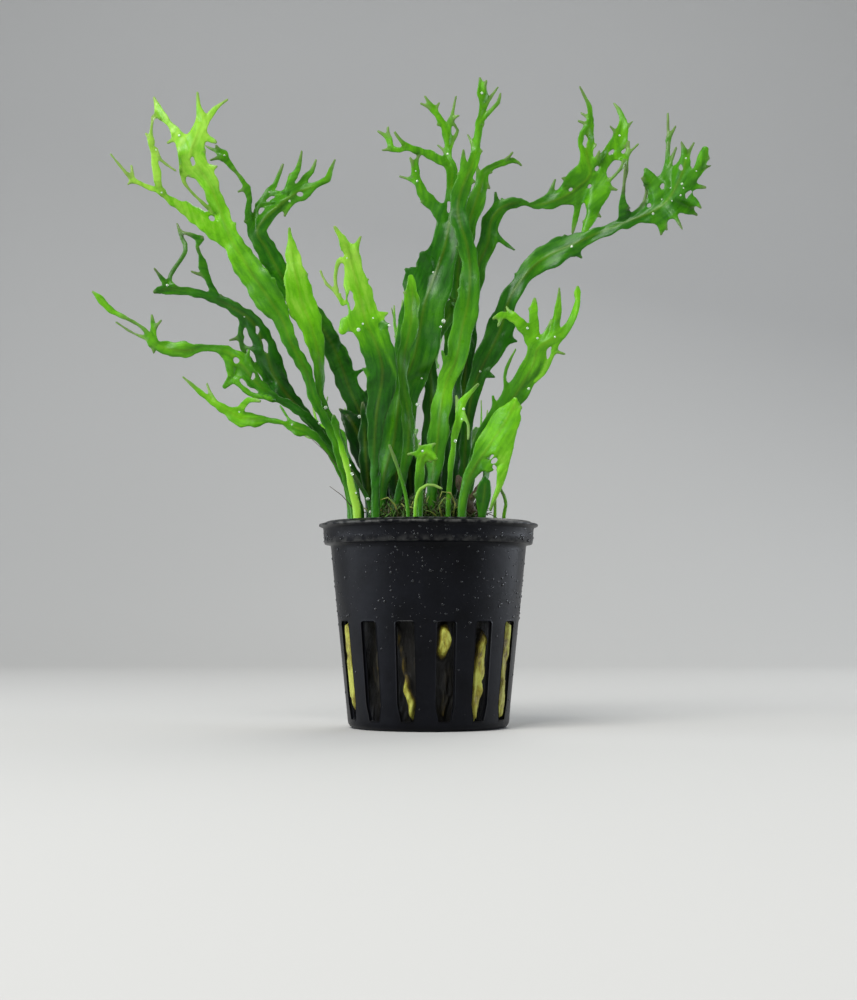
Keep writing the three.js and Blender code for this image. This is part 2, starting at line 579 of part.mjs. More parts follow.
    turn: [0.3, 0.2],
    trunk: [[-2.8, 45, 2.4, -3], [-2.8, 54, 2.4, -3], [-1.4, 64, 3.4, -3], [0.3, 73, 3.8, -2.8],
      [0.4, 83, 3.8, -2.6], [0.2, 90, 2.6, -2.4], [1.2, 95, 2.4, -2.2], [3, 99, 3, -2], [4.7, 102, 3, -2],
      [4.8, 105, 1.8, -2], [3.9, 108.6, 0.6, -2]],
    arms: [
      [[4.6, 102.2, 2.4], [6.6, 103.8, 1.2], [7.2, 105.4, 1]],
      [[4.6, 106, 1.4], [7.2, 105.4, 0.7]],
    ],
    holes: [],
  },
  centre_slim: {
    turn: [0.3, 0.4],
    trunk: [[-8.2, 45, 1.8, -10.4], [-8.2, 54, 1.7, -10.4], [-6.4, 62, 2.2, -11.2], [-5.2, 70, 3, -12.2],
      [-5.3, 77, 3, -13], [-6.3, 84, 2.4, -13.6], [-6.4, 91, 2.8, -14], [-4.9, 98.5, 4, -14.2],
      [-4.3, 105, 3.8, -14.2], [-4.4, 109.4, 2.6, -14], [-4.5, 111.4, 1.5, -13.8]],
    arms: [],
    holes: [],
  },
  centre_crest: {
    turn: [-0.3, 0],
    trunk: [[-11.8, 45, 2.2, -6], [-11.8, 54, 2.2, -6], [-11.4, 60, 2.8, -6.2], [-10.2, 65, 5.4, -6.6],
      [-8.8, 70, 8, -7], [-8, 76, 9.2, -7.2], [-7.4, 81, 9.4, -7.4], [-6, 86, 9.6, -7.6],
      [-3.9, 91, 10.4, -7.8], [-2.6, 97, 10.8, -8], [-1.4, 104, 10.8, -8], [0.4, 109.4, 10.2, -7],
      [2.2, 114.4, 8.4, -5.6], [3.8, 119.4, 6.8, -3.4], [5, 125.6, 6.2, -1], [6.2, 130.4, 4.6, -0.5],
      [5.4, 134.6, 3.2, 0], [5.6, 138.1, 2.4, 0], [4.6, 141.6, 2, 0], [4.6, 144.9, 1.8, 0],
      [4.1, 148.6, 2.2, -0.5], [2.1, 152.1, 1.6, -1], [0.9, 154.1, 1.4, -1.5], [-1.1, 157.2, 0.5, -2]],
    arms: [
      [[4.6, 125.4, 4], [0.1, 130.4, 3], [-2.9, 135.6, 2.2], [-3.6, 139.1, 1.5], [-2.4, 142.9, 0.5]],
      [[-3.3, 138.1, 1.2], [-4.8, 141.6, 0.5]],
      [[-2.9, 135.6, 1.6], [-7.3, 136.9, 0.5]],
      [[5.6, 138.4, 2.2], [3.8, 140.6, 2.4], [-1.1, 142.9, 2.2], [-4.8, 144.1, 1.6], [-6.8, 145.6, 1.1],
        [-8.6, 148.1, 0.5]],
      [[-5.2, 144.1, 1.2], [-7.3, 143.6, 1.4], [-9.3, 143.9, 1.4], [-10.3, 146.6, 1.2],
        [-12.8, 148.4, 0.5]],
      [[-10.2, 146.4, 1], [-10.3, 149.4, 0.5]],
      [[-9.2, 143.9, 1.1], [-11.8, 143.5, 0.5]],
      [[1.2, 153.4, 1], [2.4, 155.6, 0.5]],
      [[1, 154, 0.9], [-2.1, 155.4, 0.5]],
      [[4.3, 148.1, 1.4], [5.6, 152.4, 0.9], [6.6, 157.2, 0.5]],
      [[5.2, 151, 0.9], [7, 148.6, 0.8], [5, 144.8, 1]],
      [[5.4, 151.2, 0.8], [7.2, 152.4, 0.5]],
      [[4.5, 142.6, 1], [2.1, 144.8, 0.5]],
      [[-1.6, 105.6, 8], [-3.2, 110, 6.8], [-4.4, 112.2, 3.4], [-5.8, 113.4, 1]],
      [[1, 112.6, 6], [-0.8, 115.2, 4.2], [-1.8, 117.2, 1.6]],
      [[-6, 84.6, 5], [-2.8, 85.4, 1.8], [-1.8, 86.2, 0.6]],
    ],
    holes: [[4.9, 129.2, 1.3, 3, 0]],
  },
  centre_right: {
    turn: [-0.5, 0.4],
    trunk: [[0.4, 45, 2.4, -9.6], [0.4, 54, 2.4, -9.6], [0.9, 61, 2.8, -11], [2, 71, 5.2, -12.6],
      [3, 79.7, 4.4, -13.5], [4.3, 85.6, 4.6, -14], [6.6, 91, 4.8, -14.5], [8, 98.5, 5.8, -15],
      [9.6, 106, 5.4, -15], [10, 113.6, 4.6, -14.5], [9.1, 119.8, 4.2, -14], [7.6, 124.8, 4.2, -13.5],
      [7, 129.1, 4.2, -13], [8.1, 134.4, 4.4, -13], [10.5, 139.9, 2.8, -13], [11.8, 144.9, 2, -13],
      [12.3, 149.9, 1.7, -13], [13.3, 154.9, 1.8, -13.5], [13, 158.2, 2.4, -14], [12.5, 161.9, 0.6, -14]],
    arms: [
      [[13.1, 158, 1.4], [14.2, 161.2, 0.5]],
      [[13.3, 154.6, 1.2], [15, 156.7, 0.8], [17, 159.6, 0.5]],
      [[12.6, 151, 1.4], [15.7, 154.1, 1], [17, 155.6, 1], [17.6, 158, 0.5]],
      [[8.4, 135, 2.6], [8.4, 143.6, 0.6]],
      [[11.5, 143.4, 1.2], [9.5, 147.4, 0.5]],
      [[5, 89, 2.6], [3.6, 91, 1.2], [3.1, 93, 0.5]],
    ],
    holes: [],
  },
  centre_back: {
    turn: [0.4, 0.4],
    trunk: [[2.5, 45, 2, 5], [2.5, 54, 2, 5], [3.8, 71, 5, 5.6], [5.6, 86, 5, 6], [6.6, 101, 5.6, 6],
      [7.1, 113.6, 5, 6], [8.8, 122.3, 4.6, 6], [11.2, 129.9, 4.6, 6.5], [12.8, 134.9, 3, 7],
      [13.7, 138.1, 2, 7.5], [16.2, 139.6, 1.8, 8], [20.7, 140.9, 1.3, 8.5], [22.7, 139.7, 0.5, 9]],
    arms: [
      [[13.2, 136.4, 1.4], [14.9, 133.9, 0.5]],
      [[12.4, 135.4, 1.6], [11.6, 140.4, 0.5]],
      [[18.4, 140.4, 1], [20.6, 143, 0.5]],
    ],
    holes: [],
  },
  right_arch: {
    turn: [0.3, -0.5],
    trunk: [[8.6, 45, 2.6, -1], [8.6, 54, 2.6, -1], [8.6, 66, 3, -2], [9.4, 76, 3.2, -3],
      [10.8, 83.5, 3.8, -3.5], [12.8, 88.8, 4.8, -4], [15.2, 93.4, 6.4, -4.4], [17.3, 98, 6.8, -4.5],
      [18.6, 102.8, 5.2, -4.5], [20.2, 107, 4.1, -4.5], [22.9, 111, 3.7, -4.5], [26.7, 115.1, 5.6, -4],
      [31.1, 117.8, 6.6, -4], [35.3, 119.6, 5, -4], [39.8, 121.8, 3.2, -4.5], [44.8, 123.8, 2.8, -5],
      [49.7, 125.8, 3.2, -5.5], [54.4, 127.6, 4.6, -6], [58.6, 130.4, 8.6, -7], [61, 134.2, 9.4, -8],
      [62.8, 138.6, 4.6, -9], [63.4, 142.2, 1.8, -9.5], [62.4, 145.6, 0.5, -10]],
    arms: [
      [[35.2, 119, 2.6], [37.5, 116.4, 0.6]],
      [[48.2, 125.4, 3], [47.7, 129.1, 2.2], [48, 133.6, 0.8], [48.5, 139.9, 0.5]],
      [[50.2, 126.6, 1.4], [53, 130.4, 0.8], [53.6, 134.1, 0.5]],
      [[57.6, 131, 5], [55.4, 135, 4], [53.6, 138.6, 1.2]],
      [[55, 134.6, 2], [52.6, 136.4, 0.6]],
      [[59.6, 134, 4], [58.7, 138.4, 2.2], [58.9, 141.1, 1.3], [59.1, 144.9, 0.9], [59.1, 152.9, 0.5]],
      [[59, 146, 1.2], [61, 149.6, 0.5]],
      [[59, 138.6, 1.2], [61.1, 144.2, 0.5]],
      [[63.5, 141.6, 1.2], [65.5, 145.4, 0.5]],
      [[62.4, 135, 3.4], [65.4, 137.4, 2.6], [67.2, 140.1, 2.8], [68.4, 143.8, 1.6]],
      [[66, 138.2, 1.4], [69.6, 139.6, 0.5]],
      [[63, 134, 2.4], [65.6, 134.4, 1.6], [68.3, 134.1, 0.5]],
      [[62, 132, 3.6], [65, 131, 2.4], [67, 129, 0.6]],
      [[60, 130.6, 3.6], [63.6, 128.8, 2.2], [66, 127.2, 0.7]],
      [[58.6, 130, 2.6], [60.6, 127, 1.4], [62.4, 123.6, 0.5]],
      [[56.6, 128.6, 2.4], [58.7, 123.4, 0.5]],
      [[55.2, 127.6, 4.4], [57.3, 124.6, 2.4], [57.2, 122.2, 0.6]],
      [[12.6, 88, 3], [14.6, 87, 1.6], [15.9, 86.5, 0.5]],
      [[18.2, 96, 4], [20, 95.8, 2], [21.4, 95.4, 0.6]],
    ],
    holes: [[54.4, 129.6, 1.2, 1.1, 20], [57.7, 134.4, 1.1, 1.6, 0], [62.3, 139.2, 1, 1.6, 20],
      [64, 132.4, 1, 2.6, -35]],
  },
  right_back: {
    turn: [-0.3, 0.5],
    trunk: [[6, 45, 2.4, 9.6], [6, 54, 2.4, 9.6], [7.1, 71, 3.5, 10], [8.6, 86, 4.4, 10.6],
      [9.6, 101, 4.4, 11], [11.6, 113.1, 4.2, 11], [14.3, 119.8, 4.2, 11], [15.2, 125.6, 4.2, 10.6],
      [18, 129.2, 3.6, 10], [22.4, 130.4, 2.2, 9.5], [24.8, 129.7, 1.3, 9], [28.6, 130.1, 3.5, 8.5],
      [33.2, 131.8, 4.6, 8], [37.4, 134.8, 8.6, 7.5], [39.8, 137.6, 7.4, 7], [39, 141.6, 3.6, 6.5],
      [38.8, 146.1, 4.2, 6], [39.6, 149.9, 2.2, 5.5], [39.8, 154.1, 1.2, 5], [37.3, 159.7, 0.5, 4.5]],
    arms: [
      [[14.6, 123.2, 2], [19.2, 119.6, 1], [21, 118.3, 0.5]],
      [[16.8, 128.4, 1.8], [16.3, 132.8, 0.5]],
      [[29.4, 131, 1.6], [31.1, 136.1, 0.5]],
      [[37, 134.8, 2], [32.7, 136.6, 0.5]],
      [[40, 151.4, 1], [37.6, 153, 0.5]],
      [[40, 149.8, 1], [36.9, 151, 0.5]],
      [[40, 138.4, 1.4], [42.1, 143.4, 0.5]],
      [[40.6, 137.6, 3.6], [43, 140.6, 3], [45.5, 143.8, 3.8], [47.8, 148.4, 3.2], [47.7, 152.4, 1.4],
        [45.8, 155.4, 0.5]],
      [[47, 147.2, 1.2], [44.8, 149.6, 0.5]],
      [[47.6, 147.8, 1.2], [50.3, 150.8, 0.5]],
      [[45.2, 142.6, 1.8], [48.5, 141.6, 1.3], [49.4, 145.6, 0.5]],
      [[48.4, 141.8, 1], [51.7, 145.1, 0.5]],
      [[48.5, 141.6, 0.9], [48.9, 138.1, 0.6], [48.2, 134.9, 0.5]],
      [[40.4, 136, 2], [44, 135.6, 1], [47.4, 139, 0.8], [48.2, 141.2, 0.8]],
      [[40.4, 135.6, 2.2], [46.5, 133.4, 0.5]],
      [[37.2, 133.4, 3], [36.4, 128.1, 1.6], [35.3, 122.6, 0.7]],
      [[41.2, 134.2, 7.2], [40.6, 129.4, 4.2], [39.2, 125, 2.2], [37.6, 121.4, 0.8]],
      [[39.8, 129, 1.2], [42.4, 126.6, 0.5]],
    ],
    holes: [[34.9, 133.6, 1, 1, 0], [41.4, 138.9, 1, 1.4, 0], [38.6, 145.8, 1.1, 3.4, 0],
      [45, 143, 0.9, 1.8, -30], [39.6, 134.4, 0.9, 1.2, 0]],
  },
  right_crest: {
    turn: [0.5, -0.3],
    trunk: [[9.2, 45, 2.2, -6], [9.2, 54, 2.2, -6], [10, 62.2, 2.8, -7], [12.5, 69, 4, -8.4],
      [15.6, 74.7, 5, -10], [20, 80.5, 5.6, -11], [23.4, 85.8, 5.6, -12], [25.6, 89.8, 5, -13],
      [26.6, 93.6, 4.6, -14], [29.4, 95.6, 3.2, -14.5], [32.6, 97.3, 2.6, -15], [35.3, 101.5, 1.8, -15.5],
      [36.6, 105.6, 1.3, -15.5], [36.6, 107.6, 1.9, -15.5], [36.5, 109, 0.8, -15.5]],
    arms: [
      [[26.4, 92.6, 4.4], [24.4, 97.5, 3], [21.2, 101, 2.6], [18.2, 102, 1.8], [15.7, 101.1, 0.6]],
      [[20.4, 101.2, 1.4], [19, 104, 0.5]],
      [[17.8, 101.8, 1.2], [16.9, 99.2, 0.5]],
      [[25.4, 95.8, 3], [25.6, 101.5, 2.4], [25.9, 106, 0.7]],
      [[28, 95, 2], [29.9, 100.7, 0.5]],
      [[31, 96.4, 1.6], [31.4, 101.5, 2], [31.9, 105, 1.3], [32, 108.8, 0.5]],
      [[31.4, 96.6, 1.6], [30.6, 92.8, 1.2], [27.8, 87.3, 1.2], [23.4, 84, 1.6]],
      [[16.4, 76.8, 2], [15.6, 81.6, 0.6]],
      [[19.4, 80.6, 1.8], [18.5, 86.4, 0.8], [19.5, 90, 0.7], [21.2, 93.4, 0.5]],
      [[30.6, 93, 1.2], [33.2, 92.2, 0.5]],
    ],
    holes: [],
  },
  right_bent: {
    turn: [0.2, -0.6],
    trunk: [[8, 45, 2.2, -16], [8, 54, 2.2, -16], [9.2, 60, 2.6, -17], [11.4, 64.6, 4.2, -18.4],
      [14.2, 68.6, 6, -19.6], [17, 72.6, 7.2, -20.6], [19.4, 76.6, 6, -21.4], [20.7, 79.4, 3, -21.8],
      [21, 80.8, 1.4, -22]],
    arms: [
      [[18.6, 72, 5], [18.6, 67.6, 3.6], [17.8, 63.2, 2.6], [17.1, 59.4, 1.6], [15.6, 55.6, 1],
        [14.9, 53.4, 0.7]],
      [[13.2, 66, 3.4], [14.6, 63.8, 2], [17.4, 64.6, 1.8]],
      [[20, 78.6, 2.4], [22.4, 78.9, 0.8]],
    ],
    holes: [[14.9, 66.5, 0.8, 2.2, -68], [15.9, 63.9, 1, 1.4, 0]],
  },
  right_narrow: {
    turn: [0.3, 0.3],
    trunk: [[4.6, 45, 1.3, -14.6], [4.6, 54, 1.3, -14.6], [5.1, 62.2, 1.3, -16], [6.1, 71, 1.6, -17.6],
      [7.1, 76, 1.9, -18.4], [8.3, 80.2, 1.7, -19], [10, 82.5, 1.2, -19], [12, 84.7, 0.6, -19]],
    arms: [
      [[7.2, 76.4, 1.2], [6.6, 81.7, 0.5]],
      [[7.8, 78, 1.1], [9.5, 74.7, 0.8], [9.5, 71, 0.5]],
    ],
    holes: [],
  },
  rim_leaf: {
    turn: [0.2, 0.4],
    trunk: [[12.8, 45, 1.6, -16], [12.8, 51, 1.6, -16], [12.9, 53, 2.3, -16.2], [13, 55, 3.2, -16.5],
      [13.3, 57.5, 3.7, -17], [13.5, 59.8, 2.8, -17.4], [13.4, 61.3, 1.2, -17.6]],
    arms: [
      [[12.8, 56.8, 2], [10.8, 57.3, 0.5]],
    ],
    holes: [],
  },
  rim_stem_outer: {
    turn: [0, 0],
    trunk: [[18.2, 45, 1, -9.6], [18.2, 52, 0.9, -9.6], [18.7, 54.7, 0.8, -10], [18.2, 57, 0.8, -10.5],
      [17.2, 59, 0.6, -11]],
    arms: [],
    holes: [],
  },
  rim_stem_inner: {
    turn: [0, 0],
    trunk: [[16, 45, 0.9, -13], [16, 52, 0.8, -13], [16.1, 57.2, 0.6, -14]],
    arms: [],
    holes: [],
  },
  star_leaf: {
    turn: [0.2, 0.5],
    trunk: [[-2.3, 45, 1.5, -17.6], [-2.3, 53, 1.5, -17.6], [-2.5, 59.7, 2.2, -18.6],
      [-2.2, 65, 2.4, -19.8], [-0.8, 67.6, 3.2, -20.6], [1.5, 66.1, 1, -21]],
    arms: [
      [[-1.4, 67.6, 2.2], [-3.2, 67.4, 1.5], [-5.2, 67.2, 0.5]],
      [[-0.6, 67.8, 2.2], [0.2, 69.2, 1.2], [1.4, 69.9, 0.5]],
      [[-1, 67, 1.8], [0.3, 65.4, 0.6]],
      [[-1.6, 68, 2], [-2.6, 69.4, 0.6]],
    ],
    holes: [],
  },
  curled_stalk: {
    turn: [0, 0],
    trunk: [[-3.5, 45, 0.9, -20.6], [-3.5, 53, 0.9, -20.6], [-3.2, 56.4, 0.8, -21],
      [-2.2, 58.6, 0.8, -21.4], [-0.6, 59.6, 0.8, -21.6], [1.2, 59.5, 0.7, -21.7], [2.9, 58.7, 0.6, -21.8]],
    arms: [],
    holes: [],
  },
  thin_stalk: {
    turn: [0, 0],
    trunk: [[-5.2, 45, 1, -17.4], [-5.2, 52, 1, -17.4], [-5.9, 57.4, 0.9, -17.9], [-7.6, 63.4, 0.8, -18.8],
      [-9.8, 69.4, 0.6, -20]],
    arms: [],
    holes: [],
  },
  base_left: {
    turn: [0.3, -0.2],
    trunk: [[-7.4, 45, 2, 1], [-7.4, 54, 2.2, 1], [-8, 60, 4.6, 1.2], [-8.6, 67, 5.2, 1.6],
      [-9.4, 75, 3.6, 2], [-10.2, 80, 0.8, 2.4]],
    arms: [],
    holes: [],
  },
  base_middle: {
    turn: [-0.3, 0.2],
    trunk: [[-4.8, 45, 1.8, 3.4], [-4.8, 54, 2, 3.4], [-4.6, 59, 4, 3.6], [-4.9, 65, 3.4, 4],
      [-5.2, 71, 1.8, 4.4], [-5.4, 74, 0.6, 4.6]],
    arms: [],
    holes: [],
  },
  base_right: {
    turn: [0.3, 0.3],
    trunk: [[4.8, 45, 2, 1], [4.8, 54, 2.2, 1], [5, 60, 4.6, 0.8], [5.6, 67, 4.6, 0.8], [6.6, 73, 3, 1],
      [7.4, 78, 0.6, 1.2]],
    arms: [],
    holes: [],
  },
};

// Fronds at the back of the plant, each drawn on the upright plane that it leans along
const tallBack = {
  trunk: [[0, 45, 2.4, 0], [0, 54, 2.4, 0], [2, 63, 3.4, 0.3], [6, 74, 5.4, 0.8], [11, 84, 6.2, 1],
    [17, 92, 5.6, 0.8], [23, 98, 4.4, 0.4], [28, 103, 3, 0], [31, 108, 1.6, 0], [32, 112, 0.6, 0]],
  arms: [
    [[27, 102, 3], [31, 103, 2], [35, 105.4, 1.4], [37, 109, 0.5]],
    [[33.6, 104.6, 1.4], [38, 104.4, 0.5]],
    [[24.6, 99.4, 2.6], [24, 104, 1.8], [22.4, 108, 1.2], [23, 112, 0.5]],
    [[23, 106.8, 1.2], [20, 109.4, 0.5]],
    [[30.6, 107.4, 1.4], [28, 110.6, 0.5]],
    [[20, 95.4, 2.6], [24, 94.4, 1.4], [28, 95.4, 0.5]],
  ],
  holes: [[26.6, 101, 1.2, 2.2, -40]],
};
const lowBack = {
  trunk: [[0, 45, 2, 0], [0, 54, 1.9, 0], [3, 61, 2.4, 0.3], [9, 68.6, 4, 0.6], [16, 73.6, 4.8, 0.6],
    [23, 76, 3.8, 0.2], [29, 77, 2.2, 0], [34, 79.6, 1.4, 0], [37, 84, 0.5, 0]],
  arms: [
    [[29, 77, 2], [34, 75.4, 1.2], [38.4, 76.4, 0.5]],
    [[26, 76.6, 2], [28, 81, 1.4], [27.6, 85.6, 0.5]],
    [[21, 75.6, 2], [23.4, 71.4, 0.6]],
  ],
  holes: [[24, 76, 1, 2, 75]],
};
const backFronds = {
  back_tall_a: { ...tallBack, at: [-6, 13], facing: 96, turn: [0.5, -0.4] },
  back_tall_b: { ...tallBack, at: [0.5, 15], facing: 84, turn: [-0.4, 0.5] },
  back_low_a: { ...lowBack, at: [-12.6, 12], facing: 106, turn: [0.4, -0.4] },
  back_low_b: { ...lowBack, at: [8.6, 15], facing: 78, turn: [-0.4, 0.4] },
  back_low_c: { ...lowBack, at: [-2.6, 19], facing: 92, turn: [0.4, 0.3] },
  back_side_left: { ...lowBack, at: [-17.4, 9], facing: 112, turn: [0.4, 0.3] },
  back_side_right: { ...lowBack, at: [13.6, 9], facing: 74, turn: [-0.4, 0.3] },
};

// The wave of each frond's edges follows its place in the list
function prepared(frond, index, place) {
  return {
    ...frond,
    place,
    wave: { height: waveHeight, length: waveLength + (index % 4), phase: 1.7 * index },
    stalk: Math.min(stalkThickness, Math.max(bladeThickness, stalkShare * frond.trunk[0][2])),
  };
}

const fronds = [
  ...Object.entries(frontFronds).map(([name, frond], index) => [name, prepared(frond, index, seenFromFront)]),
  ...Object.entries(backFronds).map(([name, frond], index) => [name,
    prepared(frond, index + 3, leaningBack(frond.at, frond.facing))]),
];

const finishes = {
  plastic: { color: 0x15171a, roughness: 0.4, metalness: 0 },
  wool: { color: 0x8d8436, roughness: 0.95, metalness: 0 },
  wood: { color: 0x4a3419, roughness: 0.8, metalness: 0 },
  leaf: { color: 0x4f9a1f, roughness: 0.45, metalness: 0 },
};

function addMesh(group, name, geometry, finish) {
  const mesh = new THREE.Mesh(geometry, new THREE.MeshStandardMaterial(finish));
  mesh.name = name;
  group.add(mesh);
}

const group = new THREE.Group();
const stems = fronds.map(([, frond]) => {
  const [x, z, width, depth] = frond.trunk[0];
  const foot = frond.place(x, z, depth);
  return { x: foot.x, y: foot.y, width, thickness: frond.stalk };
});
const [rhizomeX, rhizomeY] = rhizomeRoot;
const rhizomeStem = { x: rhizomeX, y: rhizomeY, width: 2 * rhizomeRadius, thickness: 2 * rhizomeRadius };
addMesh(group, "pot", potGeometry(), finishes.plastic);
addMesh(group, "rockwool", plugGeometry([...stems, rhizomeStem]), finishes.wool);
addMesh(group, "rhizome", rhizomeGeometry(), finishes.wood);
fronds.forEach(([name, frond]) => addMesh(group, `frond_${name}`, frondGeometry(frond), finishes.leaf));

export default group;
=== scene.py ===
# A crested java fern in a slotted net pot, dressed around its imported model. Metres, front at -Y.
import math
import random

import bpy
import numpy as np
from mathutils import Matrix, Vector


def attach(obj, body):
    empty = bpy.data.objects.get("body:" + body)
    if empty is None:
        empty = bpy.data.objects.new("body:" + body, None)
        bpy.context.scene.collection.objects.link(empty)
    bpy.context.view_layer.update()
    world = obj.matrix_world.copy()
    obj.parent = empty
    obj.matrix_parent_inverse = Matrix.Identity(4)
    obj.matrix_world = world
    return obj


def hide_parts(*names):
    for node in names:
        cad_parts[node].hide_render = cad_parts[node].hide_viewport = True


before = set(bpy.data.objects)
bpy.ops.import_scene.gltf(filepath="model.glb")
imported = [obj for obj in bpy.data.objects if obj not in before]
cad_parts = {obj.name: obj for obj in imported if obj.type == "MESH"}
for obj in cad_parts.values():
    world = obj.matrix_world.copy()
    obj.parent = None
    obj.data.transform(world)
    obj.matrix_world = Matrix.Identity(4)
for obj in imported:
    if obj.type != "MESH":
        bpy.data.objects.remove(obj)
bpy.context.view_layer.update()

MM = 0.001

# The camera, level with the middle of the pot and tilted up as the photo was taken
EYE_DISTANCE = 450
EYE_HEIGHT = 27
EYE_TILT = 3.67
LENS = 65.7

# Leaves, in millimetres
CELL = 0.36
BRANCH_STEP = 1.5
FORK_REACH = 2.5
WEB = 0.9
BLADE_START = 51
BLADE_FULL = 63
BLADE_THICKNESS = 0.34
EDGE_THICKNESS = 0.12
EDGE_ROUND = 0.8
STALK_THICKNESS = 1.7
STALK_FADE = 9
POT_HEIGHT = 50
WAVE_HEIGHT = 0.7
WAVE_LENGTH = 15
ARM_WAVE = 0.4
ARM_SPREAD = 0.3
DRAWN_SPREAD = 1.01
DRAWN_SHIFT = 0.25
RIB_HEIGHT = 0.1
RIB_WIDTH = 0.32
FRILL_HEIGHT = 0.3
FRILL_LENGTH = 9
TOOTH_SPACING = 14
TOOTH_STEP = 0.7
TEETH_ABOVE = 100

# Water on the leaves: the chance of a drop at a fork, the mesh points to a drop on the blade, radii in
# millimetres, and a dome's width and height for its radius
FORK_DROP_CHANCE = 0.25
POINTS_PER_DROP = 3000
DROP_RADII = (0.2, 0.42)
DROP_WIDTH = 0.8
DROP_HEIGHT = 0.36

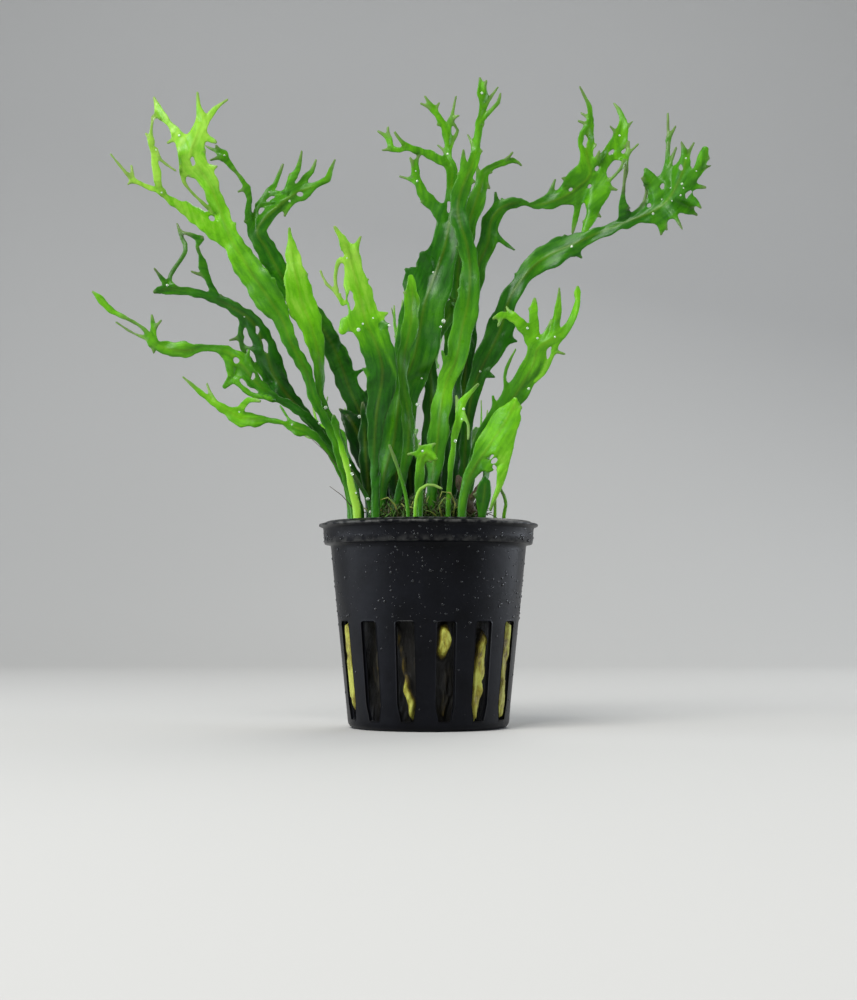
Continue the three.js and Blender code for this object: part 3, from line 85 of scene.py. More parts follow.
# Fronds as the front shows them, in millimetres. A trunk's nodes are [x, z, width, depth] from the root to
# the tip, an arm's are [x, z, width], and a hole is [x, z, width, height, tilt in degrees]. turn is the slope
# across the blade at the root and at the tip. shade runs from the root to the tip: 0 is the darkest green, 1 is
# lime and more is the pale yellow of a stalk. shade holds the leaf's own green and also painted light and
# painted
# shade where a frond is lit or shaded: the darkest values, low in the clump and on inner fronds, are painted
# shade.
# wet holds drops placed one by one, [x, z, size]. patches holds paler places laid on the shade,
# [x, z, width, height, tilt, change of shade].
FRONT_FRONDS = {
    "left_tall": dict(
        turn=[0.5, -0.35], shade=[0.62, 0.5, 0.48, 0.5, 0.62, 0.82, 0.92, 0.95],
        trunk=[[-18.4, 45, 2.6, -9], [-18.4, 54, 2.4, -9], [-21, 63.5, 2.2, -10], [-23.9, 72.2, 2.2, -11],
          [-28.2, 81, 2.4, -12], [-30.1, 87.3, 2.8, -12.5], [-34.1, 94.8, 3.4, -13],
          [-36.1, 100.5, 4.4, -13.5], [-39.6, 106, 7, -14], [-44.5, 113.6, 6.6, -14], [-48, 119, 5.2, -14],
          [-49.5, 122.3, 4.6, -14], [-52.4, 129.9, 3.6, -15], [-54.9, 136.1, 4.6, -16], [-59, 142, 6.8, -17],
          [-57.8, 146.6, 4.8, -18], [-56.4, 150.6, 3, -18.5], [-57.1, 154.1, 1.4, -19],
          [-57.6, 158.2, 0.6, -19.5]],
        arms=[[[-55.9, 150.4, 2], [-53.2, 154.1, 1.2], [-50.2, 156.4, 0.6]], [[-58.8, 143, 5],
          [-61.9, 146.8, 3.2], [-64.8, 150.6, 1.6], [-66.8, 153.1, 1.9], [-68.3, 156.9, 0.6]],
          [[-66.6, 153, 1.5], [-68.5, 152, 0.7]], [[-62, 147.2, 1.6], [-64.8, 145.4, 0.6]],
          [[-56.4, 147.4, 3], [-53, 145.6, 0.7]], [[-55.4, 138.6, 3], [-52.7, 139.4, 0.6]],
          [[-60.4, 140.6, 2.4], [-60.8, 135.6, 0.9], [-55.7, 129.8, 0.8], [-52.9, 127.4, 1]],
          [[-49.5, 120.6, 4.4], [-56.4, 126, 4.4], [-61.9, 129.6, 2.5], [-65.3, 131.9, 1.3],
          [-66.6, 133.6, 1.6], [-67.3, 136.1, 2], [-68.3, 142.4, 1.7], [-69.1, 146.6, 1.2],
          [-68.6, 151.6, 0.6]], [[-68.8, 145.8, 1], [-70.4, 147.8, 0.5]],
          [[-67.8, 143.6, 1], [-66.4, 141, 0.7], [-62.9, 138.4, 0.5]],
          [[-66.2, 132.9, 1.6], [-70.6, 134.6, 1.2], [-73.5, 135.9, 1.1], [-74.6, 134.9, 0.5]],
          [[-73.2, 135.8, 1], [-73.8, 139.6, 0.5]],
          [[-73.4, 135.9, 0.8], [-75.2, 137.9, 0.7], [-79, 142.6, 0.5]]],
        holes=[[-58.6, 140.7, 1.1, 2.3, 0], [-53.8, 126.3, 1.5, 1.5, 0]]),
    # left_back: the near-black shade of its lower stalk is painted shade inside the clump
    "left_back": dict(
        turn=[-0.4, 0.4], shade=[0.1, 0.08, 0.18, 0.32, 0.42, 0.5, 0.4, 0.46, 0.6, 0.7],
        trunk=[[-9.8, 45, 2.2, 7], [-9.8, 54, 2.2, 7], [-11.2, 61, 4.6, 8], [-14.4, 71, 6, 8.6],
          [-17.2, 78, 5.8, 8], [-19.8, 84, 5.2, 7], [-22, 90, 5.2, 5], [-24.6, 95.8, 5, 2],
          [-28.6, 101.6, 5.4, -1.6], [-33.4, 107.4, 5.6, -5], [-37.3, 113.1, 5.4, -7],
          [-40.4, 118.8, 4.8, -7.5], [-42.6, 123, 4.4, -8], [-39.6, 127.4, 3.2, -8], [-35, 131.4, 4.2, -8.5],
          [-32.1, 133.1, 4.6, -9], [-29.4, 134.1, 2.8, -9], [-27.2, 135.1, 1.6, -9.3],
          [-25.2, 136.1, 1.6, -9.6], [-24.4, 138.6, 1.1, -10], [-23.4, 141.1, 0.5, -10]],
        arms=[[[-42.6, 122.4, 3], [-43.2, 125.8, 1.6], [-42.2, 129.6, 1.3], [-39.6, 133.1, 1.6],
          [-38.3, 134.6, 1.6], [-36.3, 139.9, 0.5]],
          [[-35.6, 131, 2], [-34, 135.9, 2], [-32.6, 138.6, 1.3], [-31.6, 143.4, 0.5]],
          [[-32.6, 133.1, 2.5], [-30.6, 136.6, 1.6], [-29.1, 138.1, 1.2], [-28.1, 141.1, 0.5]],
          [[-42.2, 129.7, 1.2], [-38.2, 129.6, 1.2]], [[-39.6, 133, 1.2], [-35, 132, 1.4]],
          [[-34.6, 130.6, 2], [-35.8, 126.9, 0.7]], [[-43, 122.6, 3.2], [-45, 127.9, 1.7],
          [-44.5, 131.1, 1.2], [-45.3, 134.1, 1.6], [-47, 136.9, 1], [-49, 139.4, 1.2], [-51.3, 142.6, 2.2]],
          [[-51.2, 142.4, 1.6], [-52.9, 144.8, 0.5]], [[-51, 142.4, 1.4], [-55.4, 144.6, 0.5]],
          [[-50.8, 142.2, 1.4], [-54.2, 141, 0.5]], [[-45.2, 134, 1.2], [-47.4, 133, 0.5]],
          [[-19.4, 86.6, 2.4], [-17.6, 87.6, 1.2], [-16.2, 88.4, 0.5]],
          [[-17, 80.4, 3.4], [-15.4, 82, 1.6], [-14.8, 83.6, 0.6]],
          [[-23, 92, 3], [-21.6, 93.4, 1], [-20.6, 92.6, 0.5]]],
        holes=[[-31.9, 132.4, 1.6, 1.2, 0]]),
    "left_pointed": dict(
        turn=[0.6, 0.3], shade=[0.62, 0.5, 0.45, 0.5, 0.74, 0.86, 0.9],
        trunk=[[-19.2, 45, 2, -5], [-19.2, 54, 2, -5], [-20.5, 61, 1.8, -6], [-22.2, 71, 2, -7.4],
          [-26.7, 81, 2.2, -9], [-26.9, 87.3, 2.4, -9.6], [-27.7, 93.5, 4, -10.4], [-29.4, 99.8, 6, -11],
          [-31.4, 104.8, 7.2, -11], [-32.6, 109.8, 6, -11], [-33.6, 115.6, 3.8, -10.6],
          [-34.3, 120.3, 1.9, -10], [-34.6, 123.8, 0.6, -9.5]],
        wet=[[-25.6, 78.7, 0.6], [-36, 103, 0.38]]),
    "left_middle": dict(
        turn=[0.3, -0.3], shade=[0.38, 0.34, 0.3, 0.28, 0.3, 0.34, 0.38, 0.46, 0.48],
        trunk=[[-14, 45, 2, 7.5], [-14, 54, 2, 7.5], [-17.2, 61, 2.2, 6.6], [-23.4, 68.5, 2.4, 5.6],
          [-28.4, 74.7, 2.4, 5], [-34.4, 81.2, 4, 4.5], [-38.2, 87, 6, 4], [-40.6, 94, 5.6, 3.5],
          [-43.8, 100.4, 4.2, 3], [-50.5, 105, 2.6, 2.5], [-56.9, 107.4, 2, 2], [-61.9, 108.2, 2.1, 1.5],
          [-64.9, 108.6, 2.8, 1], [-67.6, 107.8, 0.9, 1]],
        arms=[[[-64.7, 109.4, 1.8], [-67.8, 113.6, 0.5]], [[-64.1, 109.4, 1.4], [-63.9, 111.8, 1.1],
          [-60.2, 118.1, 1.1], [-61.1, 121.1, 1], [-62.4, 125.1, 0.5]], [[-52.6, 106.4, 1.8],
          [-54.9, 111.6, 1.5], [-55.9, 114.1, 2.2], [-56.6, 117.1, 1.1], [-57.4, 119.1, 1],
          [-56.9, 121.1, 1.8], [-58.7, 122.1, 1], [-61.1, 122.8, 0.5]],
          [[-55.4, 111.6, 1], [-58.7, 112.9, 0.5]],
          [[-45.6, 101.6, 1.4], [-46.5, 96, 1.1], [-44.2, 90.5, 1.2], [-38.4, 85.3, 1.6]],
          [[-45.6, 94, 1], [-41.6, 93, 1.2]], [[-46.2, 96.4, 1.2], [-49.2, 95.6, 0.5]],
          [[-44.4, 90.8, 1.2], [-47.4, 88.4, 0.5]]],
        holes=[[-40.4, 94.3, 1.2, 3.8, 15], [-42.4, 98.2, 0.9, 2.2, 15]]),
    "left_low": dict(
        turn=[0.4, -0.3], shade=[0.42, 0.36, 0.3, 0.42, 0.6, 0.66, 0.7, 0.84],
        trunk=[[-17, 45, 1.9, 3.6], [-17, 54, 1.8, 3.6], [-19.7, 58.5, 1.8, 3.2], [-23.4, 67.2, 1.9, 2.4],
          [-27.7, 74, 2, 1.5], [-33.4, 79, 2, 1], [-38.3, 81.5, 2.2, 0.5], [-42.3, 84.7, 3, 0],
          [-46, 89.4, 4.4, -0.5], [-49.8, 92.6, 3, -1], [-54.4, 93.8, 1.4, -1.5], [-57.4, 93.4, 2.4, -1.5],
          [-60.6, 93.2, 4.1, -2], [-64.8, 93.6, 3.2, -2], [-68.1, 95, 1.9, -2.5], [-69.8, 98, 1, -3],
          [-73, 100.3, 0.9, -3.5], [-76, 101.8, 1, -4], [-78, 102.8, 1.4, -4], [-80, 104.8, 1.6, -4.5],
          [-81.7, 106.6, 1.6, -5], [-83, 107.8, 0.6, -5]],
        arms=[[[-67.8, 95.4, 1], [-73, 97.5, 0.6], [-77.2, 100.2, 0.5]],
          [[-67.8, 95.6, 1.5], [-68.1, 99.8, 1.3], [-68.4, 102, 0.5]], [[-68, 98.2, 1], [-66.1, 100.6, 0.5]],
          [[-68.1, 95.2, 1.4], [-67.8, 92.4, 0.5]], [[-46.6, 88.2, 2.6], [-50.4, 84, 1.2]],
          [[-50.2, 92.3, 1.6], [-48.6, 87, 1.4], [-44.2, 82.3, 1.3], [-38.6, 81.2, 1.5]],
          [[-45, 89.8, 1.6], [-44.4, 93.2, 0.6]]],
        holes=[[-47.6, 90.6, 1.5, 1.6, 0], [-43.4, 86.6, 0.9, 1.9, -20]], wet=[[-27, 75, 0.53]]),
    "left_lowest": dict(
        turn=[0.5, 0.3], shade=[0.4, 0.36, 0.46, 0.6, 0.76, 0.82],
        trunk=[[-17.8, 45, 1.5, -1.6], [-17.8, 54, 1.4, -1.6], [-19.9, 58.5, 1.4, -2],
          [-23.6, 66, 1.4, -2.6], [-27.4, 71, 1.4, -3], [-30.1, 73, 2.4, -3], [-32.6, 73.7, 3.2, -3.5],
          [-35.8, 75, 1.2, -4], [-39.6, 75.7, 1.7, -4.5], [-43.3, 75.7, 3.4, -5], [-47, 76.5, 4, -5.5],
          [-50.5, 78.5, 2.4, -6], [-53.2, 80.2, 1.4, -6.5], [-55.7, 82.2, 1.3, -7], [-60.6, 86.5, 0.5, -8]],
        arms=[[[-53, 80.1, 1.2], [-54.7, 84.8, 0.5]],
          [[-46.6, 77.6, 1.8], [-44.5, 80.7, 1.4], [-41.6, 80.4, 0.6]],
          [[-33.6, 74.4, 1], [-36.6, 79.2, 0.5]]]),
    "left_pale": dict(
        turn=[0.2, 0.2], shade=[1.25, 1.15, 0.9, 0.5],
        trunk=[[-17.7, 45, 2.1, -12.6], [-17.7, 53, 2.1, -12.6], [-18.6, 57, 1.9, -12.8],
          [-19.8, 62.5, 1.5, -13.3], [-21.6, 69, 1.4, -14.2], [-22.8, 73, 1.3, -14.8],
          [-23.2, 75, 1.9, -15.2], [-23.5, 76.6, 1, -15.4]],
        wet=[[-18.6, 62.4, 0.6], [-19.4, 64.5, 0.45], [-18, 57.5, 0.38]]),
    "left_thin": dict(
        turn=[0.2, 0.2], shade=[0.4, 0.3, 0.3],
        trunk=[[-14.4, 45, 1.2, -9.6], [-14.4, 53, 1.2, -9.6], [-15.3, 56.5, 1.1, -10],
          [-17.7, 60.5, 1, -11], [-19.7, 64, 0.7, -12]],
        wet=[[-15.2, 56, 0.53], [-14.5, 53, 0.45]]),
    # left_dark: its near-black shade is painted shade for a frond deep in the clump
    "left_dark": dict(
        turn=[-0.3, 0.2], shade=[0.1, 0.12, 0.18, 0.3],
        trunk=[[-14.6, 45, 2.2, 1], [-14.6, 54.5, 2.2, 1], [-15.2, 61, 3, -0.2], [-15.6, 67, 3.4, -1.4],
          [-15.9, 72, 3, -2], [-16.2, 77, 1.6, -2.4], [-16.4, 80, 0.6, -2.6]]),
    # left_inner: its near-black shade is painted shade for a frond deep in the clump
    "left_inner": dict(
        turn=[0.3, 0.2], shade=[0.1, 0.03, 0.06, 0.16],
        trunk=[[-10.6, 45, 2.2, 2.6], [-10.6, 54, 2.4, 2.6], [-13, 61, 5, 2.6], [-16.6, 69.8, 6.4, 2.9],
          [-19, 75, 4.6, 3.4], [-20.6, 77.2, 2.4, 3.8], [-22, 78.4, 0.8, 4]],
        wet=[[-14.6, 79, 0.6]]),
    # centre_bright: the dark values in the middle of its shade list are painted shade on the lower blade
    "centre_bright": dict(
        turn=[-0.3, 0.5], shade=[0.5, 0.4, 0.3, 0.32, 0.42, 0.8, 0.92, 0.95],
        trunk=[[-13.2, 45, 2.2, -13.4], [-13.2, 54, 2.2, -13.4], [-13.3, 61, 2, -14.4], [-13.6, 69, 3, -16],
          [-13, 77, 5, -17.8], [-12, 83.5, 6.8, -19.4], [-11.7, 89, 7.6, -21], [-13.3, 95, 8, -22],
          [-15.8, 100.5, 7.4, -22.5], [-17.2, 106.6, 6.8, -23], [-18.6, 112.3, 5.2, -23.5],
          [-19.7, 117.1, 4.2, -24], [-21.5, 121.1, 2, -24.5], [-23.4, 124.1, 0.6, -25]],
        arms=[[[-18.8, 116.6, 2.8], [-17.9, 119.4, 1.4], [-17, 121.6, 0.6]],
          [[-20.4, 116.4, 1.4], [-22.4, 115.6, 1], [-23.2, 112, 0.9], [-22.9, 108, 0.9], [-21.4, 105, 1.4]],
          [[-22.6, 107.4, 0.9], [-25.4, 109.8, 0.7], [-26.9, 113.1, 0.5]],
          [[-16.6, 99.6, 5.4], [-20.4, 99.6, 3.6], [-21.4, 98.2, 2.4]],
          [[-14, 101, 4], [-11.9, 102, 1.8], [-10.4, 102.4, 0.6]], [[-12, 99, 4], [-10, 99.6, 0.6]],
          [[-14.6, 87, 2], [-16.4, 88.6, 0.5]], [[-13.3, 59.6, 1.6], [-12.4, 62.4, 0.6]]],
        holes=[[-21.6, 117.3, 1, 1.8, 0], [-21.5, 114.3, 1.1, 1.4, 0], [-22, 109.6, 1.1, 4.6, 0],
          [-19.3, 105.6, 1.5, 5, 8]], wet=[[-17.6, 98.4, 0.6], [-10, 99.4, 0.38]],
          patches=[[-10, 91, 0.9, 16, 23, 0.26]]),
    "centre_broad": dict(
        turn=[0.3, 0.2], shade=[0.2, 0.24, 0.3, 0.36, 0.42, 0.5, 0.62],
        trunk=[[-2.8, 45, 2.4, -3], [-2.8, 54, 2.4, -3], [-1.4, 64, 3.4, -3], [0.3, 73, 3.8, -2.8],
          [0.4, 83, 3.8, -2.6], [0.2, 90, 2.6, -2.4], [1.2, 95, 2.4, -2.2], [3, 99, 3, -2],
          [4.7, 102, 3, -2], [4.8, 105, 1.8, -2], [3.9, 108.6, 0.6, -2]],
        arms=[[[4.6, 102.2, 2.4], [6.6, 103.8, 1.2], [7.2, 105.4, 1]], [[4.6, 106, 1.4], [7.2, 105.4, 0.7]]]),
    "centre_slim": dict(
        turn=[0.3, 0.4], shade=[0.3, 0.34, 0.42, 0.48, 0.46, 0.5, 0.7, 0.8],
        trunk=[[-8.2, 45, 1.8, -10.4], [-8.2, 54, 1.7, -10.4], [-6.4, 62, 2.2, -11.2], [-5.2, 70, 3, -12.2],
          [-5.3, 77, 3, -13], [-6.3, 84, 2.4, -13.6], [-6.4, 91, 2.8, -14], [-4.9, 98.5, 4, -14.2],
          [-4.3, 105, 3.8, -14.2], [-4.4, 109.4, 2.6, -14], [-4.5, 111.4, 1.5, -13.8]]),
    "centre_crest": dict(
        turn=[-0.3, 0], shade=[0.42, 0.38, 0.42, 0.46, 0.46, 0.36, 0.5, 0.66, 0.7],
        trunk=[[-11.8, 45, 2.2, -6], [-11.8, 54, 2.2, -6], [-11.4, 60, 2.8, -6.2], [-10.2, 65, 5.4, -6.6],
          [-8.8, 70, 8, -7], [-8, 76, 9.2, -7.2], [-7.4, 81, 9.4, -7.4], [-6, 86, 9.6, -7.6],
          [-3.9, 91, 10.4, -7.8], [-2.6, 97, 10.8, -8], [-1.4, 104, 10.8, -8], [0.4, 109.4, 10.2, -7],
          [2.2, 114.4, 8.4, -5.6], [3.8, 119.4, 6.8, -3.4], [5, 125.6, 6.2, -1], [6.2, 130.4, 4.6, -0.5],
          [5.4, 134.6, 3.2, 0], [5.6, 138.1, 2.4, 0], [4.6, 141.6, 2, 0], [4.6, 144.9, 1.8, 0],
          [4.1, 148.6, 2.2, -0.5], [2.1, 152.1, 1.6, -1], [0.9, 154.1, 1.4, -1.5], [-1.1, 157.2, 0.5, -2]],
        arms=[[[4.6, 125.4, 4], [0.1, 130.4, 3], [-2.9, 135.6, 2.2], [-3.6, 139.1, 1.5], [-2.4, 142.9, 0.5]],
          [[-3.3, 138.1, 1.2], [-4.8, 141.6, 0.5]], [[-2.9, 135.6, 1.6], [-7.3, 136.9, 0.5]],
          [[5.6, 138.4, 2.2], [3.8, 140.6, 2.4], [-1.1, 142.9, 2.2], [-4.8, 144.1, 1.6], [-6.8, 145.6, 1.1],
          [-8.6, 148.1, 0.5]], [[-5.2, 144.1, 1.2], [-7.3, 143.6, 1.4], [-9.3, 143.9, 1.4],
          [-10.3, 146.6, 1.2], [-12.8, 148.4, 0.5]], [[-10.2, 146.4, 1], [-10.3, 149.4, 0.5]],
          [[-9.2, 143.9, 1.1], [-11.8, 143.5, 0.5]], [[1.2, 153.4, 1], [2.4, 155.6, 0.5]],
          [[1, 154, 0.9], [-2.1, 155.4, 0.5]], [[4.3, 148.1, 1.4], [5.6, 152.4, 0.9], [6.6, 157.2, 0.5]],
          [[5.2, 151, 0.9], [7, 148.6, 0.8], [5, 144.8, 1]], [[5.4, 151.2, 0.8], [7.2, 152.4, 0.5]],
          [[4.5, 142.6, 1], [2.1, 144.8, 0.5]],
          [[-1.6, 105.6, 8], [-3.2, 110, 6.8], [-4.4, 112.2, 3.4], [-5.8, 113.4, 1]],
          [[1, 112.6, 6], [-0.8, 115.2, 4.2], [-1.8, 117.2, 1.6]],
          [[-6, 84.6, 5], [-2.8, 85.4, 1.8], [-1.8, 86.2, 0.6]]],
        holes=[[4.9, 129.2, 1.3, 3, 0]], wet=[[-3, 79.5, 0.6], [-1.8, 86, 0.38], [3.3, 100.5, 0.68],
          [2.8, 99, 0.38]], patches=[[-9.6, 72, 1, 22, -11, 0.24]]),
    "centre_right": dict(
        turn=[-0.5, 0.4], shade=[0.5, 0.46, 0.52, 0.68, 0.62, 0.52, 0.5, 0.4, 0.62, 0.74, 0.7],
        trunk=[[0.4, 45, 2.4, -9.6], [0.4, 54, 2.4, -9.6], [0.9, 61, 2.8, -11], [2, 71, 5.2, -12.6],
          [3, 79.7, 4.4, -13.5], [4.3, 85.6, 4.6, -14], [6.6, 91, 4.8, -14.5], [8, 98.5, 5.8, -15],
          [9.6, 106, 5.4, -15], [10, 113.6, 4.6, -14.5], [9.1, 119.8, 4.2, -14], [7.6, 124.8, 4.2, -13.5],
          [7, 129.1, 4.2, -13], [8.1, 134.4, 4.4, -13], [10.5, 139.9, 2.8, -13], [11.8, 144.9, 2, -13],
          [12.3, 149.9, 1.7, -13], [13.3, 154.9, 1.8, -13.5], [13, 158.2, 2.4, -14],
          [12.5, 161.9, 0.6, -14]],
        arms=[[[13.1, 158, 1.4], [14.2, 161.2, 0.5]],
          [[13.3, 154.6, 1.2], [15, 156.7, 0.8], [17, 159.6, 0.5]],
          [[12.6, 151, 1.4], [15.7, 154.1, 1], [17, 155.6, 1], [17.6, 158, 0.5]],
          [[8.4, 135, 2.6], [8.4, 143.6, 0.6]], [[11.5, 143.4, 1.2], [9.5, 147.4, 0.5]],
          [[5, 89, 2.6], [3.6, 91, 1.2], [3.1, 93, 0.5]]]),
    "centre_back": dict(
        turn=[0.4, 0.4], shade=[0.22, 0.24, 0.3, 0.4, 0.46, 0.6, 0.66],
        trunk=[[2.5, 45, 2, 5], [2.5, 54, 2, 5], [3.8, 71, 5, 5.6], [5.6, 86, 5, 6], [6.6, 101, 5.6, 6],
          [7.1, 113.6, 5, 6], [8.8, 122.3, 4.6, 6], [11.2, 129.9, 4.6, 6.5], [12.8, 134.9, 3, 7],
          [13.7, 138.1, 2, 7.5], [16.2, 139.6, 1.8, 8], [20.7, 140.9, 1.3, 8.5], [22.7, 139.7, 0.5, 9]],
        arms=[[[13.2, 136.4, 1.4], [14.9, 133.9, 0.5]], [[12.4, 135.4, 1.6], [11.6, 140.4, 0.5]],
          [[18.4, 140.4, 1], [20.6, 143, 0.5]]]),
    "right_arch": dict(
        turn=[0.3, -0.5], shade=[0.44, 0.34, 0.34, 0.38, 0.4, 0.38, 0.36, 0.42, 0.52, 0.6],
        trunk=[[8.6, 45, 2.6, -1], [8.6, 54, 2.6, -1], [8.6, 66, 3, -2], [9.4, 76, 3.2, -3],
          [10.8, 83.5, 3.8, -3.5], [12.8, 88.8, 4.8, -4], [15.2, 93.4, 6.4, -4.4], [17.3, 98, 6.8, -4.5],
          [18.6, 102.8, 5.2, -4.5], [20.2, 107, 4.1, -4.5], [22.9, 111, 3.7, -4.5], [26.7, 115.1, 5.6, -4],
          [31.1, 117.8, 6.6, -4], [35.3, 119.6, 5, -4], [39.8, 121.8, 3.2, -4.5], [44.8, 123.8, 2.8, -5],
          [49.7, 125.8, 3.2, -5.5], [54.4, 127.6, 4.6, -6], [58.6, 130.4, 8.6, -7], [61, 134.2, 9.4, -8],
          [62.8, 138.6, 4.6, -9], [63.4, 142.2, 1.8, -9.5], [62.4, 145.6, 0.5, -10]],
        arms=[[[35.2, 119, 2.6], [37.5, 116.4, 0.6]],
          [[48.2, 125.4, 3], [47.7, 129.1, 2.2], [48, 133.6, 0.8], [48.5, 139.9, 0.5]],
          [[50.2, 126.6, 1.4], [53, 130.4, 0.8], [53.6, 134.1, 0.5]],
          [[57.6, 131, 5], [55.4, 135, 4], [53.6, 138.6, 1.2]], [[55, 134.6, 2], [52.6, 136.4, 0.6]],
          [[59.6, 134, 4], [58.7, 138.4, 2.2], [58.9, 141.1, 1.3], [59.1, 144.9, 0.9], [59.1, 152.9, 0.5]],
          [[59, 146, 1.2], [61, 149.6, 0.5]], [[59, 138.6, 1.2], [61.1, 144.2, 0.5]],
          [[63.5, 141.6, 1.2], [65.5, 145.4, 0.5]],
          [[62.4, 135, 3.4], [65.4, 137.4, 2.6], [67.2, 140.1, 2.8], [68.4, 143.8, 1.6]],
          [[66, 138.2, 1.4], [69.6, 139.6, 0.5]], [[63, 134, 2.4], [65.6, 134.4, 1.6], [68.3, 134.1, 0.5]],
          [[62, 132, 3.6], [65, 131, 2.4], [67, 129, 0.6]],
          [[60, 130.6, 3.6], [63.6, 128.8, 2.2], [66, 127.2, 0.7]],
          [[58.6, 130, 2.6], [60.6, 127, 1.4], [62.4, 123.6, 0.5]], [[56.6, 128.6, 2.4], [58.7, 123.4, 0.5]],
          [[55.2, 127.6, 4.4], [57.3, 124.6, 2.4], [57.2, 122.2, 0.6]],
          [[12.6, 88, 3], [14.6, 87, 1.6], [15.9, 86.5, 0.5]],
          [[18.2, 96, 4], [20, 95.8, 2], [21.4, 95.4, 0.6]]],
        holes=[[54.4, 129.6, 1.2, 1.1, 20], [57.7, 134.4, 1.1, 1.6, 0], [62.3, 139.2, 1, 1.6, 20],
          [64, 132.4, 1, 2.6, -35]], patches=[[30, 117.5, 6, 20, -60, 0.1]]),
    "right_back": dict(
        turn=[-0.3, 0.5], shade=[0.2, 0.2, 0.24, 0.28, 0.36, 0.44, 0.42, 0.6, 0.66, 0.7],
        trunk=[[6, 45, 2.4, 9.6], [6, 54, 2.4, 9.6], [7.1, 71, 3.5, 10], [8.6, 86, 4.4, 10.6],
          [9.6, 101, 4.4, 11], [11.6, 113.1, 4.2, 11], [14.3, 119.8, 4.2, 11], [15.2, 125.6, 4.2, 10.6],
          [18, 129.2, 3.6, 10], [22.4, 130.4, 2.2, 9.5], [24.8, 129.7, 1.3, 9], [28.6, 130.1, 3.5, 8.5],
          [33.2, 131.8, 4.6, 8], [37.4, 134.8, 8.6, 7.5], [39.8, 137.6, 7.4, 7], [39, 141.6, 3.6, 6.5],
          [38.8, 146.1, 4.2, 6], [39.6, 149.9, 2.2, 5.5], [39.8, 154.1, 1.2, 5], [37.3, 159.7, 0.5, 4.5]],
        arms=[[[14.6, 123.2, 2], [19.2, 119.6, 1], [21, 118.3, 0.5]],
          [[16.8, 128.4, 1.8], [16.3, 132.8, 0.5]], [[29.4, 131, 1.6], [31.1, 136.1, 0.5]],
          [[37, 134.8, 2], [32.7, 136.6, 0.5]], [[40, 151.4, 1], [37.6, 153, 0.5]],
          [[40, 149.8, 1], [36.9, 151, 0.5]], [[40, 138.4, 1.4], [42.1, 143.4, 0.5]], [[40.6, 137.6, 3.6],
          [43, 140.6, 3], [45.5, 143.8, 3.8], [47.8, 148.4, 3.2], [47.7, 152.4, 1.4], [45.8, 155.4, 0.5]],
          [[47, 147.2, 1.2], [44.8, 149.6, 0.5]], [[47.6, 147.8, 1.2], [50.3, 150.8, 0.5]],
          [[45.2, 142.6, 1.8], [48.5, 141.6, 1.3], [49.4, 145.6, 0.5]],
          [[48.4, 141.8, 1], [51.7, 145.1, 0.5]],
          [[48.5, 141.6, 0.9], [48.9, 138.1, 0.6], [48.2, 134.9, 0.5]],
          [[40.4, 136, 2], [44, 135.6, 1], [47.4, 139, 0.8], [48.2, 141.2, 0.8]],
          [[40.4, 135.6, 2.2], [46.5, 133.4, 0.5]],
          [[37.2, 133.4, 3], [36.4, 128.1, 1.6], [35.3, 122.6, 0.7]],
          [[41.2, 134.2, 7.2], [40.6, 129.4, 4.2], [39.2, 125, 2.2], [37.6, 121.4, 0.8]],
          [[39.8, 129, 1.2], [42.4, 126.6, 0.5]]],
        holes=[[34.9, 133.6, 1, 1, 0], [41.4, 138.9, 1, 1.4, 0], [38.6, 145.8, 1.1, 3.4, 0],
          [45, 143, 0.9, 1.8, -30], [39.6, 134.4, 0.9, 1.2, 0]]),
    "right_crest": dict(
        turn=[0.5, -0.3], shade=[0.5, 0.42, 0.42, 0.5, 0.66, 0.76, 0.84],
        trunk=[[9.2, 45, 2.2, -6], [9.2, 54, 2.2, -6], [10, 62.2, 2.8, -7], [12.5, 69, 4, -8.4],
          [15.6, 74.7, 5, -10], [20, 80.5, 5.6, -11], [23.4, 85.8, 5.6, -12], [25.6, 89.8, 5, -13],
          [26.6, 93.6, 4.6, -14], [29.4, 95.6, 3.2, -14.5], [32.6, 97.3, 2.6, -15],
          [35.3, 101.5, 1.8, -15.5], [36.6, 105.6, 1.3, -15.5], [36.6, 107.6, 1.9, -15.5],
          [36.5, 109, 0.8, -15.5]],
        arms=[[[26.4, 92.6, 4.4], [24.4, 97.5, 3], [21.2, 101, 2.6], [18.2, 102, 1.8], [15.7, 101.1, 0.6]],
          [[20.4, 101.2, 1.4], [19, 104, 0.5]], [[17.8, 101.8, 1.2], [16.9, 99.2, 0.5]],
          [[25.4, 95.8, 3], [25.6, 101.5, 2.4], [25.9, 106, 0.7]], [[28, 95, 2], [29.9, 100.7, 0.5]],
          [[31, 96.4, 1.6], [31.4, 101.5, 2], [31.9, 105, 1.3], [32, 108.8, 0.5]],
          [[31.4, 96.6, 1.6], [30.6, 92.8, 1.2], [27.8, 87.3, 1.2], [23.4, 84, 1.6]],
          [[16.4, 76.8, 2], [15.6, 81.6, 0.6]],
          [[19.4, 80.6, 1.8], [18.5, 86.4, 0.8], [19.5, 90, 0.7], [21.2, 93.4, 0.5]],
          [[30.6, 93, 1.2], [33.2, 92.2, 0.5]]],
        wet=[[24, 98.8, 0.45], [24.4, 83.5, 0.45], [26.6, 96, 0.38]]),
    "right_bent": dict(
        turn=[0.2, -0.6], shade=[0.5, 0.52, 0.62, 0.74, 0.82],
        trunk=[[8, 45, 2.2, -16], [8, 54, 2.2, -16], [9.2, 60, 2.6, -17], [11.4, 64.6, 4.2, -18.4],
          [14.2, 68.6, 6, -19.6], [17, 72.6, 7.2, -20.6], [19.4, 76.6, 6, -21.4], [20.7, 79.4, 3, -21.8],
          [21, 80.8, 1.4, -22]],
